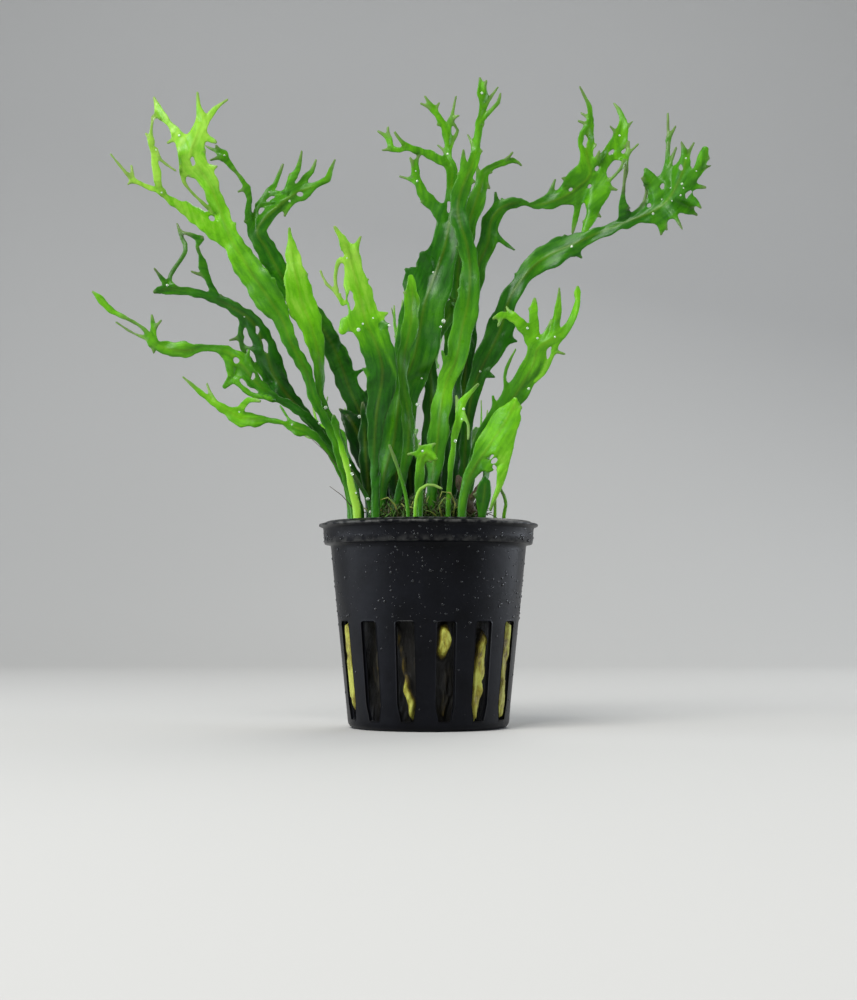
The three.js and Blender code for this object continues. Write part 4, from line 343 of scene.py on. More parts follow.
        arms=[[[18.6, 72, 5], [18.6, 67.6, 3.6], [17.8, 63.2, 2.6], [17.1, 59.4, 1.6], [15.6, 55.6, 1],
          [14.9, 53.4, 0.7]], [[13.2, 66, 3.4], [14.6, 63.8, 2], [17.4, 64.6, 1.8]],
          [[20, 78.6, 2.4], [22.4, 78.9, 0.8]]],
        holes=[[14.9, 66.5, 0.8, 2.2, -68], [15.9, 63.9, 1, 1.4, 0]]),
    "right_narrow": dict(
        turn=[0.3, 0.3], shade=[0.55, 0.6, 0.74, 0.8],
        trunk=[[4.6, 45, 1.3, -14.6], [4.6, 54, 1.3, -14.6], [5.1, 62.2, 1.3, -16], [6.1, 71, 1.6, -17.6],
          [7.1, 76, 1.9, -18.4], [8.3, 80.2, 1.7, -19], [10, 82.5, 1.2, -19], [12, 84.7, 0.6, -19]],
        arms=[[[7.2, 76.4, 1.2], [6.6, 81.7, 0.5]], [[7.8, 78, 1.1], [9.5, 74.7, 0.8], [9.5, 71, 0.5]]],
        wet=[[6.3, 70.6, 0.53], [8.3, 78.5, 0.45], [8, 76, 0.3]]),
    "rim_leaf": dict(
        turn=[0.2, 0.4], shade=[0.46, 0.46, 0.38, 0.44],
        trunk=[[12.8, 45, 1.6, -16], [12.8, 51, 1.6, -16], [12.9, 53, 2.3, -16.2], [13, 55, 3.2, -16.5],
          [13.3, 57.5, 3.7, -17], [13.5, 59.8, 2.8, -17.4], [13.4, 61.3, 1.2, -17.6]],
        arms=[[[12.8, 56.8, 2], [10.8, 57.3, 0.5]]]),
    "rim_stem_outer": dict(
        turn=[0, 0], shade=[0.9, 0.8, 0.6],
        trunk=[[18.2, 45, 1, -9.6], [18.2, 52, 0.9, -9.6], [18.7, 54.7, 0.8, -10], [18.2, 57, 0.8, -10.5],
          [17.2, 59, 0.6, -11]]),
    "rim_stem_inner": dict(
        turn=[0, 0], shade=[0.9, 0.8],
        trunk=[[16, 45, 0.9, -13], [16, 52, 0.8, -13], [16.1, 57.2, 0.6, -14]]),
    "star_leaf": dict(
        turn=[0.2, 0.5], shade=[0.44, 0.52, 0.66, 0.78],
        trunk=[[-2.3, 45, 1.5, -17.6], [-2.3, 53, 1.5, -17.6], [-2.5, 59.7, 2.2, -18.6],
          [-2.2, 65, 2.4, -19.8], [-0.8, 67.6, 3.2, -20.6], [1.5, 66.1, 1, -21]],
        arms=[[[-1.4, 67.6, 2.2], [-3.2, 67.4, 1.5], [-5.2, 67.2, 0.5]],
          [[-0.6, 67.8, 2.2], [0.2, 69.2, 1.2], [1.4, 69.9, 0.5]], [[-1, 67, 1.8], [0.3, 65.4, 0.6]],
          [[-1.6, 68, 2], [-2.6, 69.4, 0.6]]]),
    "curled_stalk": dict(
        turn=[0, 0], shade=[0.75, 0.85, 0.95, 0.9],
        trunk=[[-3.5, 45, 0.9, -20.6], [-3.5, 53, 0.9, -20.6], [-3.2, 56.4, 0.8, -21],
          [-2.2, 58.6, 0.8, -21.4], [-0.6, 59.6, 0.8, -21.6], [1.2, 59.5, 0.7, -21.7],
          [2.9, 58.7, 0.6, -21.8]]),
    "thin_stalk": dict(
        turn=[0, 0], shade=[0.5, 0.6, 0.65],
        trunk=[[-5.2, 45, 1, -17.4], [-5.2, 52, 1, -17.4], [-5.9, 57.4, 0.9, -17.9],
          [-7.6, 63.4, 0.8, -18.8], [-9.8, 69.4, 0.6, -20]]),
    # The three base fronds are short leaves low between the stems; their near-black shade is painted shade
    "base_left": dict(
        turn=[0.3, -0.2], shade=[0.12, 0.1, 0.14, 0.2],
        trunk=[[-7.4, 45, 2, 1], [-7.4, 54, 2.2, 1], [-8, 60, 4.6, 1.2], [-8.6, 67, 5.2, 1.6],
          [-9.4, 75, 3.6, 2], [-10.2, 80, 0.8, 2.4]]),
    "base_middle": dict(
        turn=[-0.3, 0.2], shade=[0.12, 0.14, 0.2, 0.26],
        trunk=[[-4.8, 45, 1.8, 3.4], [-4.8, 54, 2, 3.4], [-4.6, 59, 4, 3.6], [-4.9, 65, 3.4, 4],
          [-5.2, 71, 1.8, 4.4], [-5.4, 74, 0.6, 4.6]]),
    "base_right": dict(
        turn=[0.3, 0.3], shade=[0.12, 0.14, 0.2, 0.26],
        trunk=[[4.8, 45, 2, 1], [4.8, 54, 2.2, 1], [5, 60, 4.6, 0.8], [5.6, 67, 4.6, 0.8], [6.6, 73, 3, 1],
          [7.4, 78, 0.6, 1.2]]),
}

# Fronds at the back of the plant, each drawn on the upright plane that it leans along
TALL_BACK = dict(
    shade=[0.55, 0.42, 0.4, 0.44, 0.55, 0.74, 0.86],
    trunk=[[0, 45, 2.4, 0], [0, 54, 2.4, 0], [2, 63, 3.4, 0.3], [6, 74, 5.4, 0.8], [11, 84, 6.2, 1],
      [17, 92, 5.6, 0.8], [23, 98, 4.4, 0.4], [28, 103, 3, 0], [31, 108, 1.6, 0], [32, 112, 0.6, 0]],
    arms=[[[27, 102, 3], [31, 103, 2], [35, 105.4, 1.4], [37, 109, 0.5]],
      [[33.6, 104.6, 1.4], [38, 104.4, 0.5]],
      [[24.6, 99.4, 2.6], [24, 104, 1.8], [22.4, 108, 1.2], [23, 112, 0.5]],
      [[23, 106.8, 1.2], [20, 109.4, 0.5]], [[30.6, 107.4, 1.4], [28, 110.6, 0.5]],
      [[20, 95.4, 2.6], [24, 94.4, 1.4], [28, 95.4, 0.5]]],
    holes=[[26.6, 101, 1.2, 2.2, -40]])
LOW_BACK = dict(
    shade=[0.5, 0.4, 0.46, 0.6, 0.76, 0.86],
    trunk=[[0, 45, 2, 0], [0, 54, 1.9, 0], [3, 61, 2.4, 0.3], [9, 68.6, 4, 0.6], [16, 73.6, 4.8, 0.6],
      [23, 76, 3.8, 0.2], [29, 77, 2.2, 0], [34, 79.6, 1.4, 0], [37, 84, 0.5, 0]],
    arms=[[[29, 77, 2], [34, 75.4, 1.2], [38.4, 76.4, 0.5]],
      [[26, 76.6, 2], [28, 81, 1.4], [27.6, 85.6, 0.5]], [[21, 75.6, 2], [23.4, 71.4, 0.6]]],
    holes=[[24, 76, 1, 2, 75]])
BACK_FRONDS = {
    "back_tall_a": dict(TALL_BACK, at=[-6, 13], facing=96, turn=[0.5, -0.4]),
    "back_tall_b": dict(TALL_BACK, at=[0.5, 15], facing=84, turn=[-0.4, 0.5]),
    "back_low_a": dict(LOW_BACK, at=[-12.6, 12], facing=106, turn=[0.4, -0.4]),
    "back_low_b": dict(LOW_BACK, at=[8.6, 15], facing=78, turn=[-0.4, 0.4]),
    "back_low_c": dict(LOW_BACK, at=[-2.6, 19], facing=92, turn=[0.4, 0.3]),
    "back_side_left": dict(LOW_BACK, at=[-17.4, 9], facing=112, turn=[0.4, 0.3]),
    "back_side_right": dict(LOW_BACK, at=[13.6, 9], facing=74, turn=[-0.4, 0.3]),
}


def smoothed(nodes, step):
    """Points on a smooth curve through the nodes, about one step apart."""
    nodes = np.array(nodes, float)
    rows = [nodes[0]]
    for i in range(len(nodes) - 1):
        before, start, end = nodes[max(i - 1, 0)], nodes[i], nodes[i + 1]
        after = nodes[min(i + 2, len(nodes) - 1)]
        parts = max(1, round(math.dist(start[:2], end[:2]) / step))
        t = np.linspace(0, 1, parts + 1)[1:, None]
        rows.extend((2 * t**3 - 3 * t**2 + 1) * start + (t**3 - 2 * t**2 + t) * (end - before) / 2
                    + (3 * t**2 - 2 * t**3) * end + (t**3 - t**2) * (after - start) / 2)
    rows = np.array(rows)
    rows[:, 2] = np.maximum(rows[:, 2], 0.4)
    return rows


def smoothstep(value, low, high):
    t = np.clip((value - low) / (high - low), 0, 1)
    return t * t * (3 - 2 * t)


def ripples(x, z, size, seed):
    """A smooth, uneven value from about -1 to 1, with bumps of the given size."""
    k = 2 * math.pi / size
    return (np.sin(k * (0.81 * x + 0.59 * z) + seed) * np.cos(k * (0.47 * z - 0.94 * x) * 0.8 + 2.1 * seed)
            + 0.5 * np.sin(k * (1.9 * x - 1.3 * z) + 3.7 * seed))


def distances(stations):
    """How far along a branch each of its stations is."""
    return np.concatenate([[0], np.cumsum(np.hypot(*np.diff(stations[:, :2], axis=0).T))])


def tilted(across, up, degrees):
    """Distances across and up, measured along axes that are tilted."""
    c, s = math.cos(math.radians(degrees)), math.sin(math.radians(degrees))
    return across * c + up * s, up * c - across * s


def renumbered(triangles):
    """The points that triangles use, and the same triangles numbered by them."""
    used, order = np.unique(triangles, return_inverse=True)
    return used, order.reshape(-1, 3)


def segments_of(stations, turn, wave):
    """A branch's segments: both ends, then at each the distance from the root and the turn, then the wave."""
    far = distances(stations)
    turns = turn[0] + (turn[1] - turn[0]) * far / far[-1]
    same = np.tile(wave, (len(far) - 1, 1))
    return np.column_stack([stations[:-1], stations[1:], far[:-1], far[1:], turns[:-1], turns[1:], same])


def beside(a, b, x, z):
    """Where points lie beside segments: the share along, the offset and the signed side."""
    dx, dz = (b[:, 0] - a[:, 0]), (b[:, 1] - a[:, 1])
    length = np.maximum(np.hypot(dx, dz), 1e-6)
    rx, rz = x[:, None] - a[:, 0], z[:, None] - a[:, 1]
    t = np.clip((rx * dx + rz * dz) / length**2, 0, 1)
    offset = np.hypot(rx - t * dx, rz - t * dz)
    return t, offset, (rx * dz - rz * dx) / length


def depth_at(segments, x, z):
    """Depth of the leaf at places on its drawing: the nearest branches count most."""
    a, b = segments[:, 0:4], segments[:, 4:8]
    start, end, turn0, turn1, height, length, phase = segments[:, 8:].T
    t, offset, side = beside(a, b, x, z)
    half = np.maximum((a[:, 2] + (b[:, 2] - a[:, 2]) * t) / 2, 0.3)
    reach = np.clip(side / half, -1, 1)
    far = start + (end - start) * t
    turned = np.clip(side, -half, half) * (turn0 + (turn1 - turn0) * t)
    ripple = height * reach * np.minimum(half / 2, 1) * np.sin(2 * math.pi * far / length + phase + 0.9 * reach)
    frill = FRILL_HEIGHT * reach**2 * np.minimum(half / 2.5, 1) * np.sin(0.21 * far + phase) * np.sin(
        2 * math.pi * far / FRILL_LENGTH + 2 * phase + 1.2 * reach)
    opened = smoothstep(z, BLADE_START, BLADE_FULL)[:, None]
    depth = a[:, 3] + (b[:, 3] - a[:, 3]) * t + opened * (turned + ripple + frill)
    weight = (np.hypot(b[:, 0] - a[:, 0], b[:, 1] - a[:, 1]) + 0.5) / (offset**2 + 0.25) ** 2
    return (weight * depth).sum(1) / weight.sum(1)


def teeth(stations, draw):
    """Small pointed teeth along a branch's edges, as short arms."""
    far = distances(stations)
    found = []
    place = draw.uniform(2, TOOTH_SPACING)
    while place < far[-1] - 2:
        x, z, width = (np.interp(place, far, stations[:, n]) for n in range(3))
        ahead = [np.interp(place + 0.5, far, stations[:, n]) for n in range(2)]
        along = np.array([ahead[0] - x, ahead[1] - z])
        along /= max(np.hypot(*along), 1e-6)
        side = draw.choice([-1, 1])
        out = np.array([-along[1], along[0]]) * side
        if width > 1.6 and z > TEETH_ABOVE:
            size = draw.uniform(0.1, 0.6) * min(1, width / 3)
            foot = np.array([x, z]) + out * (width / 2 - 0.8)
            tip = foot + out * (0.8 + size) + along * draw.uniform(0.4, 1.4) * size
            found.append([[*foot, 1.5], [*((foot + tip) / 2), 0.9], [*tip, 0.4]])
        place += draw.uniform(0.4, 1.6) * TOOTH_SPACING
    return found


def drawn_field(branches, holes, xs, zs, seed):
    """How far inside the leaf's outline each grid place is, with the half width and share of its branch."""
    grid_x, grid_z = np.meshgrid(xs, zs)
    field = np.full(grid_x.shape, -9.0)
    half = np.full(grid_x.shape, 0.3)
    share = np.zeros(grid_x.shape)
    for stations, shares in branches:
        margin = stations[:, 2].max() / 2 + 1.5
        across, up = (slice(*np.searchsorted(axis, [values.min() - margin, values.max() + margin]))
                      for values, axis in ((stations[:, 0], xs), (stations[:, 1], zs)))
        window = (up, across)
        x, z = grid_x[window].ravel(), grid_z[window].ravel()
        t, offset, _ = beside(stations[:-1], stations[1:], x, z)
        widths = (stations[:-1, 2] + np.diff(stations[:, 2]) * t) / 2
        best = (widths - offset).argmax(1)
        rows = np.arange(len(x))
        shape = grid_x[window].shape
        value = (widths - offset)[rows, best].reshape(shape)
        old = field[window]
        nearer = value > old
        blend = np.clip(0.5 + 0.5 * (value - old) / WEB, 0, 1)
        half[window] = np.where(nearer, widths[rows, best].reshape(shape), half[window])
        along = (shares[:-1] + np.diff(shares) * t)[rows, best].reshape(shape)
        share[window] = np.where(nearer, along, share[window])
        field[window] = old + (value - old) * blend + WEB * blend * (1 - blend)
    field += np.minimum(0.26, 0.2 * half) * ripples(grid_x, grid_z, 7.5, seed) * smoothstep(grid_z, 56, 64)
    for x, z, width, height, tilt in holes:
        u, v = tilted(grid_x - x, grid_z - z, tilt)
        u = u + 0.15 * np.sin(2.2 * v + seed)
        inside = (1 - np.hypot(u / (width / 2), v / (height / 2))) * width / 2
        field = np.minimum(field, -inside)
    least = 0.12 * CELL
    field = np.where(np.abs(field) < least, np.where(field < 0, -least, least), field)
    return field, half, share


# The triangles of a grid cell for each mix of corners inside: 0 to 3 are its corners, 4 to 7 its edges
CELL_TRIANGLES = {
    1: [(0, 4, 7)], 2: [(4, 1, 5)], 3: [(0, 1, 5), (0, 5, 7)], 4: [(5, 2, 6)],
    5: [(0, 4, 5), (0, 5, 2), (0, 2, 6), (0, 6, 7)], 6: [(4, 1, 2), (4, 2, 6)],
    7: [(0, 1, 2), (0, 2, 6), (0, 6, 7)], 8: [(7, 6, 3)], 9: [(0, 4, 6), (0, 6, 3)],
    10: [(4, 1, 5), (4, 5, 6), (4, 6, 3), (4, 3, 7)], 11: [(0, 1, 5), (0, 5, 6), (0, 6, 3)],
    12: [(7, 5, 2), (7, 2, 3)], 13: [(0, 4, 5), (0, 5, 2), (0, 2, 3)], 14: [(4, 1, 2), (4, 2, 3), (4, 3, 7)],
    15: [(0, 1, 2), (0, 2, 3)],
}


def outline_mesh(field, xs, zs):
    """The drawing's inside with a smooth edge: x, z, how each point mixes two grid places, and triangles."""
    rows, columns = field.shape
    count = rows * columns
    inside = field > 0
    j, i = np.meshgrid(np.arange(rows - 1), np.arange(columns - 1), indexing="ij")
    corner = (j * columns + i).ravel()
    flat = inside.ravel()
    case = flat[corner] + 2 * flat[corner + 1] + 4 * flat[corner + columns + 1] + 8 * flat[corner + columns]
    triangles = []
    for kind, pattern in CELL_TRIANGLES.items():
        at = corner[case == kind]
        places = [at, at + 1, at + columns + 1, at + columns, count + at, 2 * count + at + 1,
                  count + at + columns, 2 * count + at]
        triangles.extend(np.column_stack([places[n] for n in three]) for three in pattern)
    used, triangles = renumbered(np.concatenate(triangles))
    kind, first = used // count, used % count
    second = np.where(kind == 1, first + 1, np.where(kind == 2, first + columns, first))
    values = field.ravel()
    span = values[first] - values[second]
    mix = np.where(kind == 0, 0, values[first] / np.where(kind == 0, 1, span))
    grid_x, grid_z = (grid.ravel() for grid in np.meshgrid(xs, zs))
    x = grid_x[first] + (grid_x[second] - grid_x[first]) * mix
    z = grid_z[first] + (grid_z[second] - grid_z[first]) * mix
    return x, z, (first, second, mix), triangles


def largest_part(count, triangles):
    """The triangles of the biggest joined part."""
    label = np.arange(count)
    while True:
        least = label[triangles].min(1)
        fresh = label.copy()
        for n in range(3):
            np.minimum.at(fresh, triangles[:, n], least)
        fresh = fresh[fresh]
        if (fresh == label).all():
            break
        label = fresh
    owner = label[triangles[:, 0]]
    names, sizes = np.unique(owner, return_counts=True)
    return triangles[owner == names[sizes.argmax()]]


def unit(rows):
    return rows / np.maximum(np.linalg.norm(rows, axis=1, keepdims=True), 1e-12)


def corner_normals(points, triangles):
    first, second, third = (points[triangles[:, n]] for n in range(3))
    normal = np.cross(second - first, third - first)
    total = np.zeros_like(points)
    for n in range(3):
        np.add.at(total, triangles[:, n], normal)
    return unit(total)


def seen_from_front(x, z, depth):
    """Puts a place on a front frond's drawing in space: it is drawn as it looks from the photo's camera."""
    scale = (EYE_DISTANCE + depth) / EYE_DISTANCE
    across = (x * DRAWN_SPREAD + DRAWN_SHIFT) * scale
    return np.column_stack([across, depth, EYE_HEIGHT + (z - EYE_HEIGHT) * scale])


def leaning_back(frond):
    """Puts a place on a back frond's drawing in space: x is the distance from its root, the way it leans."""
    c, s = math.cos(math.radians(frond["facing"])), math.sin(math.radians(frond["facing"]))
    root_x, root_y = frond["at"]

    def place(x, z, depth):
        return np.column_stack([root_x + c * x - s * depth, root_y + s * x + c * depth, z])
    return place


def branches_of(frond, wave, draw):
    """A frond's branches, each with its stations' shares of the way to the tip, its segments and its forks."""
    trunk = smoothed(frond["trunk"], BRANCH_STEP)
    segments = segments_of(trunk, frond["turn"], wave)
    far = distances(trunk)
    branches = [(trunk, far / far[-1])]
    forks = []
    for number, nodes in enumerate(frond.get("arms", [])):
        nodes = np.array(nodes, float)
        root_x, root_z = nodes[:1, 0], nodes[:1, 1]
        root = depth_at(segments, root_x, root_z)[0]
        lift = ARM_SPREAD * math.dist(nodes[0][:2], nodes[-1][:2]) * math.sin(2.4 * number + wave[2])
        depths = root + lift * np.arange(len(nodes)) / (len(nodes) - 1)
        arm = smoothed(np.column_stack([nodes, depths]), BRANCH_STEP)
        reached = 0
        for stations, shares in branches:
            gaps = np.hypot(stations[:, 0] - root_x, stations[:, 1] - root_z)
            if gaps.min() < FORK_REACH:
                reached = max(reached, shares[gaps.argmin()])
        branches.append((arm, np.minimum(reached + distances(arm) / far[-1], 1)))
        forks.append(nodes[0, :2])
        segments = np.concatenate([segments, segments_of(arm, (0, 0), (ARM_WAVE * wave[0], *wave[1:]))])
    for stations, shares in list(branches):
        for tooth in teeth(stations, draw):
            nearest = np.hypot(stations[:, 0] - tooth[0][0], stations[:, 1] - tooth[0][1]).argmin()
            fine = smoothed(tooth, TOOTH_STEP)
            branches.append((fine, np.full(len(fine), shares[nearest])))
    return branches, segments, forks


def drops_on(frond, forks, x, z, blade, draw):
    """The drops on a leaf as a mesh point and a radius: at forks, on the blade, then those listed."""
    wet = []
    for fork in forks:
        if draw.random() < FORK_DROP_CHANCE:
            wet.append(np.hypot(x - fork[0], z - fork[1]).argmin())
    wet.extend(int(blade[draw.randrange(len(blade))]) for _ in range(len(blade) // POINTS_PER_DROP))
    return [(n, draw.uniform(*DROP_RADII)) for n in wet] + [
        (np.hypot(x - drop_x, z - drop_z).argmin(), size) for drop_x, drop_z, size in frond.get("wet", [])]


def leaf_mesh(name, frond, index, place):
    """A frond's points in millimetres, its faces, its values and the places where water clings."""
    draw = random.Random(name)
    branches, segments, forks = branches_of(frond, (WAVE_HEIGHT, WAVE_LENGTH + index % 4, 1.7 * index), draw)
    trunk = branches[0][0]
    every = np.concatenate([stations[:, :3] for stations, _ in branches])
    reach = every[:, 2:].max() / 2 + 1
    xs = np.arange(every[:, 0].min() - reach, every[:, 0].max() + reach, CELL)
    zs = np.arange(trunk[0, 1], every[:, 1].max() + reach, CELL)
    grids = drawn_field(branches, frond.get("holes", []), xs, zs, 1.3 * index)
    x, z, mixes, triangles = outline_mesh(grids[0], xs, zs)
    used, triangles = renumbered(largest_part(len(x), triangles))
    x, z, first, second, mix = (values[used] for values in (x, z, *mixes))
    field, half, share = (grid.ravel()[first] * (1 - mix) + grid.ravel()[second] * mix for grid in grids)
    t, offset, side = beside(trunk[:-1], trunk[1:], x, z)
    nearest = offset.argmin(1)
    rows = np.arange(len(x))
    far = distances(trunk)
    along = (far[:-1] + (far[1:] - far[:-1]) * t)[rows, nearest]
    offset, side = offset[rows, nearest], side[rows, nearest]
    width = np.interp(along, far, trunk[:, 2])
    rib = np.exp(-(offset / RIB_WIDTH) ** 2) * smoothstep(width, 1.8, 3.4) * smoothstep(z, 52, 58)
    depth = depth_at(segments, x, z) + 0.08 * ripples(x, z, 11, 0.7 * index) * smoothstep(z, 56, 66)
    middle = place(x, z, depth)
    normals = corner_normals(middle, triangles)
    stalk = min(STALK_THICKNESS, max(BLADE_THICKNESS, 0.85 * frond["trunk"][0][2]))
    fade = np.exp(-np.maximum(middle[:, 2] - POT_HEIGHT, 0) / STALK_FADE)
    thickness = BLADE_THICKNESS + (stalk - BLADE_THICKNESS) * fade
    inward = np.clip(field / np.minimum(np.maximum(half, 0.3), EDGE_ROUND), 0, 1)
    section = np.sqrt(np.clip(inward * (2 - inward), 0, 1))
    thickness = EDGE_THICKNESS + (thickness - EDGE_THICKNESS) * section
    outward = (thickness / 2 + RIB_HEIGHT * rib)[:, None] * normals
    points = np.concatenate([middle + outward, middle - outward])
    count = len(x)
    directed = np.concatenate([triangles[:, [0, 1]], triangles[:, [1, 2]], triangles[:, [2, 0]]])
    keys = directed[:, 0] * count + directed[:, 1]
    start, end = directed[~np.isin(keys, directed[:, 1] * count + directed[:, 0])].T
    sides = np.column_stack([end, start, count + start, count + end])
    faces = triangles.tolist() + (count + triangles[:, ::-1]).tolist() + sides.tolist()
    # shade values: the leaf's green, with painted light and painted shade in them
    shades = np.interp(share, np.linspace(0, 1, len(frond["shade"])), frond["shade"])
    for patch_x, patch_z, wide, high, tilt, change in frond.get("patches", []):
        u, v = tilted(x - patch_x, z - patch_z, tilt)
        shades += change * np.exp(-((u / (wide / 2)) ** 2) - (v / (high / 2)) ** 4)
    tip = np.clip((0.62 - half) / 0.3, 0, 1) * smoothstep(share, 0.55, 0.9)
    values = {"shade": shades, "rib": rib, "margin": field, "along": along, "side": side, "tip": tip}
    values = {key: np.tile(value, 2) for key, value in values.items()}
    wet = drops_on(frond, forks, x, z, np.flatnonzero((field > 0.7) & (z > BLADE_FULL)), draw)
    return points, faces, values, [(points[n], normals[n], size) for n, size in wet]


def node(tree, kind, inputs=None, **settings):
    """A shader node with its settings, and inputs that are values or other nodes' outputs."""
    made = tree.nodes.new(kind)
    for key, value in settings.items():
        setattr(made, key, value)
    for key, value in (inputs or {}).items():
        if isinstance(value, bpy.types.NodeSocket):
            tree.links.new(value, made.inputs[key])
        else:
            made.inputs[key].default_value = value
    return made


def new_material(name):
    made = bpy.data.materials.new(name)
    made.use_nodes = True
    made.node_tree.nodes.clear()
    return made, made.node_tree


def attribute(tree, name):
    return node(tree, "ShaderNodeAttribute", attribute_name=name).outputs["Fac"]


def maths(tree, operation, *values, clamp=False):
    inputs = dict(enumerate(values))
    return node(tree, "ShaderNodeMath", inputs, operation=operation, use_clamp=clamp).outputs[0]


def noise(tree, scale, detail=2, roughness=0.5, vector=None, distortion=0):
    if vector is None:
        vector = node(tree, "ShaderNodeTexCoord").outputs["Object"]
    inputs = {"Vector": vector, "Scale": scale, "Detail": detail, "Roughness": roughness,
              "Distortion": distortion}
    return node(tree, "ShaderNodeTexNoise", inputs).outputs["Fac"]


def spread(tree, value, from_low, from_high, low, high):
    inputs = {"Value": value, "From Min": from_low, "From Max": from_high, "To Min": low, "To Max": high}
    return node(tree, "ShaderNodeMapRange", inputs).outputs[0]


def ramp(tree, value, stops):
    made = node(tree, "ShaderNodeValToRGB", {"Fac": value})
    elements = made.color_ramp.elements
    while len(elements) < len(stops):
        elements.new(0.5)
    for element, (position, colour) in zip(elements, stops):
        element.position = position
        element.color = (*colour, 1)
    return made.outputs["Color"]


def mixed(tree, factor, first, second):
    made = node(tree, "ShaderNodeMix", {0: factor}, data_type="RGBA")
    for key, value in ((6, first), (7, second)):
        if isinstance(value, bpy.types.NodeSocket):
            tree.links.new(value, made.inputs[key])
        else:
            made.inputs[key].default_value = (*value, 1)
    return made.outputs[2]


def bump(tree, height, strength, distance):
    inputs = {"Height": height, "Strength": strength, "Distance": distance}
    return node(tree, "ShaderNodeBump", inputs).outputs[0]


def principled(tree, colour, rough, others=None):
    inputs = {"Base Color": colour, "Roughness": rough, **(others or {})}
    return node(tree, "ShaderNodeBsdfPrincipled", inputs).outputs[0]


def finished(made, shader):
    """The material, with the shader as its surface."""
    node(made.node_tree, "ShaderNodeOutputMaterial", {"Surface": shader})
    return made


LEAF_COLOURS = [
    (0.0, (0.0012, 0.014, 0.0006)),
    (0.2, (0.0055, 0.056, 0.0018)),
    (0.4, (0.0200, 0.145, 0.0035)),
    (0.6, (0.0650, 0.275, 0.0050)),
    (0.8, (0.1550, 0.500, 0.0080)),
    (1.0, (0.3400, 0.660, 0.0600)),
]


def leaf_material():
    """Fresh leaf: shade along the frond, with painted light and painted shade in it, streaks along the blade, a
    faint rib, net veins, thin brown tips.
    """
    made, tree = new_material("leaf")
    along, side, margin = (attribute(tree, name) for name in ("along", "side", "margin"))

    def lengthways(share):
        """A place on the blade whose pattern is drawn out along it."""
        inputs = {"X": maths(tree, "MULTIPLY", along, share), "Y": side}
        return node(tree, "ShaderNodeCombineXYZ", inputs).outputs[0]

    streaks = noise(tree, 0.9, 3, vector=lengthways(0.16), distortion=0.4)
    blotches = spread(tree, noise(tree, 120, 3), 0.3, 0.7, -0.07, 0.07)
    # The shade attribute is the leaf's green with painted light and painted shade in it
    shade = maths(tree, "ADD", attribute(tree, "shade"), blotches)
    shade = maths(tree, "ADD", shade, spread(tree, streaks, 0.3, 0.7, -0.08, 0.08))
    cells = node(tree, "ShaderNodeTexVoronoi", {"Scale": 0.85, "Vector": lengthways(0.55)},
                 feature="DISTANCE_TO_EDGE").outputs["Distance"]
    veins = spread(tree, cells, 0.0, 0.14, 1.0, 0.0)
    shade = maths(tree, "SUBTRACT", shade, maths(tree, "MULTIPLY", veins, 0.03), clamp=True)
    colour = ramp(tree, shade, LEAF_COLOURS)
    colour = mixed(tree, maths(tree, "MULTIPLY", attribute(tree, "rib"), 0.3), colour, (0.17, 0.24, 0.012))
    colour = mixed(tree, spread(tree, margin, 0.0, 0.3, 0.2, 0.0), colour, (0.12, 0.24, 0.04))
    colour = mixed(tree, maths(tree, "MULTIPLY", attribute(tree, "tip"), 0.5), colour, (0.22, 0.23, 0.12))
    relief = maths(tree, "ADD", maths(tree, "MULTIPLY", veins, -0.3), maths(tree, "MULTIPLY", streaks, 1.2))
    normal = bump(tree, relief, 0.25, 0.00012)
    rough = spread(tree, noise(tree, 420, 2), 0.3, 0.7, 0.26, 0.46)
    skin = principled(tree, colour, rough, {
        "Normal": normal, "Specular IOR Level": 0.24, "Coat Weight": 0.05, "Coat Roughness": 0.2})
    glow = mixed(tree, 0.07, colour, (0.30, 0.62, 0.01))
    through = node(tree, "ShaderNodeBsdfTranslucent", {"Color": glow, "Normal": normal}).outputs[0]
    return finished(made, node(tree, "ShaderNodeMixShader", {0: 0.2, 1: skin, 2: through}).outputs[0])


def plastic_material():
    """Black moulded plastic with a fine grain and mineral dust near its edges."""
    made, tree = new_material("plastic")
    clouds = noise(tree, 120, 4, 0.6)
    colour = ramp(tree, clouds, [(0.3, (0.0020, 0.0022, 0.0032)), (0.7, (0.0045, 0.0050, 0.0075))])
    dust = spread(tree, noise(tree, 900, 4, 0.65), 0.52, 0.72, 0.0, 0.35)
    worn = spread(tree, noise(tree, 700, 3), 0.4, 0.62, 0.0, 0.8)
    colour = mixed(tree, maths(tree, "MULTIPLY", dust, 0.04), colour, (0.12, 0.125, 0.13))
    colour = mixed(tree, maths(tree, "MULTIPLY", attribute(tree, "worn"), worn), colour, (0.10, 0.10, 0.095))
    relief = maths(tree, "ADD", maths(tree, "MULTIPLY", noise(tree, 2600, 3), 0.4), noise(tree, 500, 2))
    return finished(made, principled(tree, colour, spread(tree, clouds, 0.3, 0.7, 0.3, 0.4), {
        "Specular IOR Level": 0.1, "Normal": bump(tree, relief, 0.25, 0.00012)}))


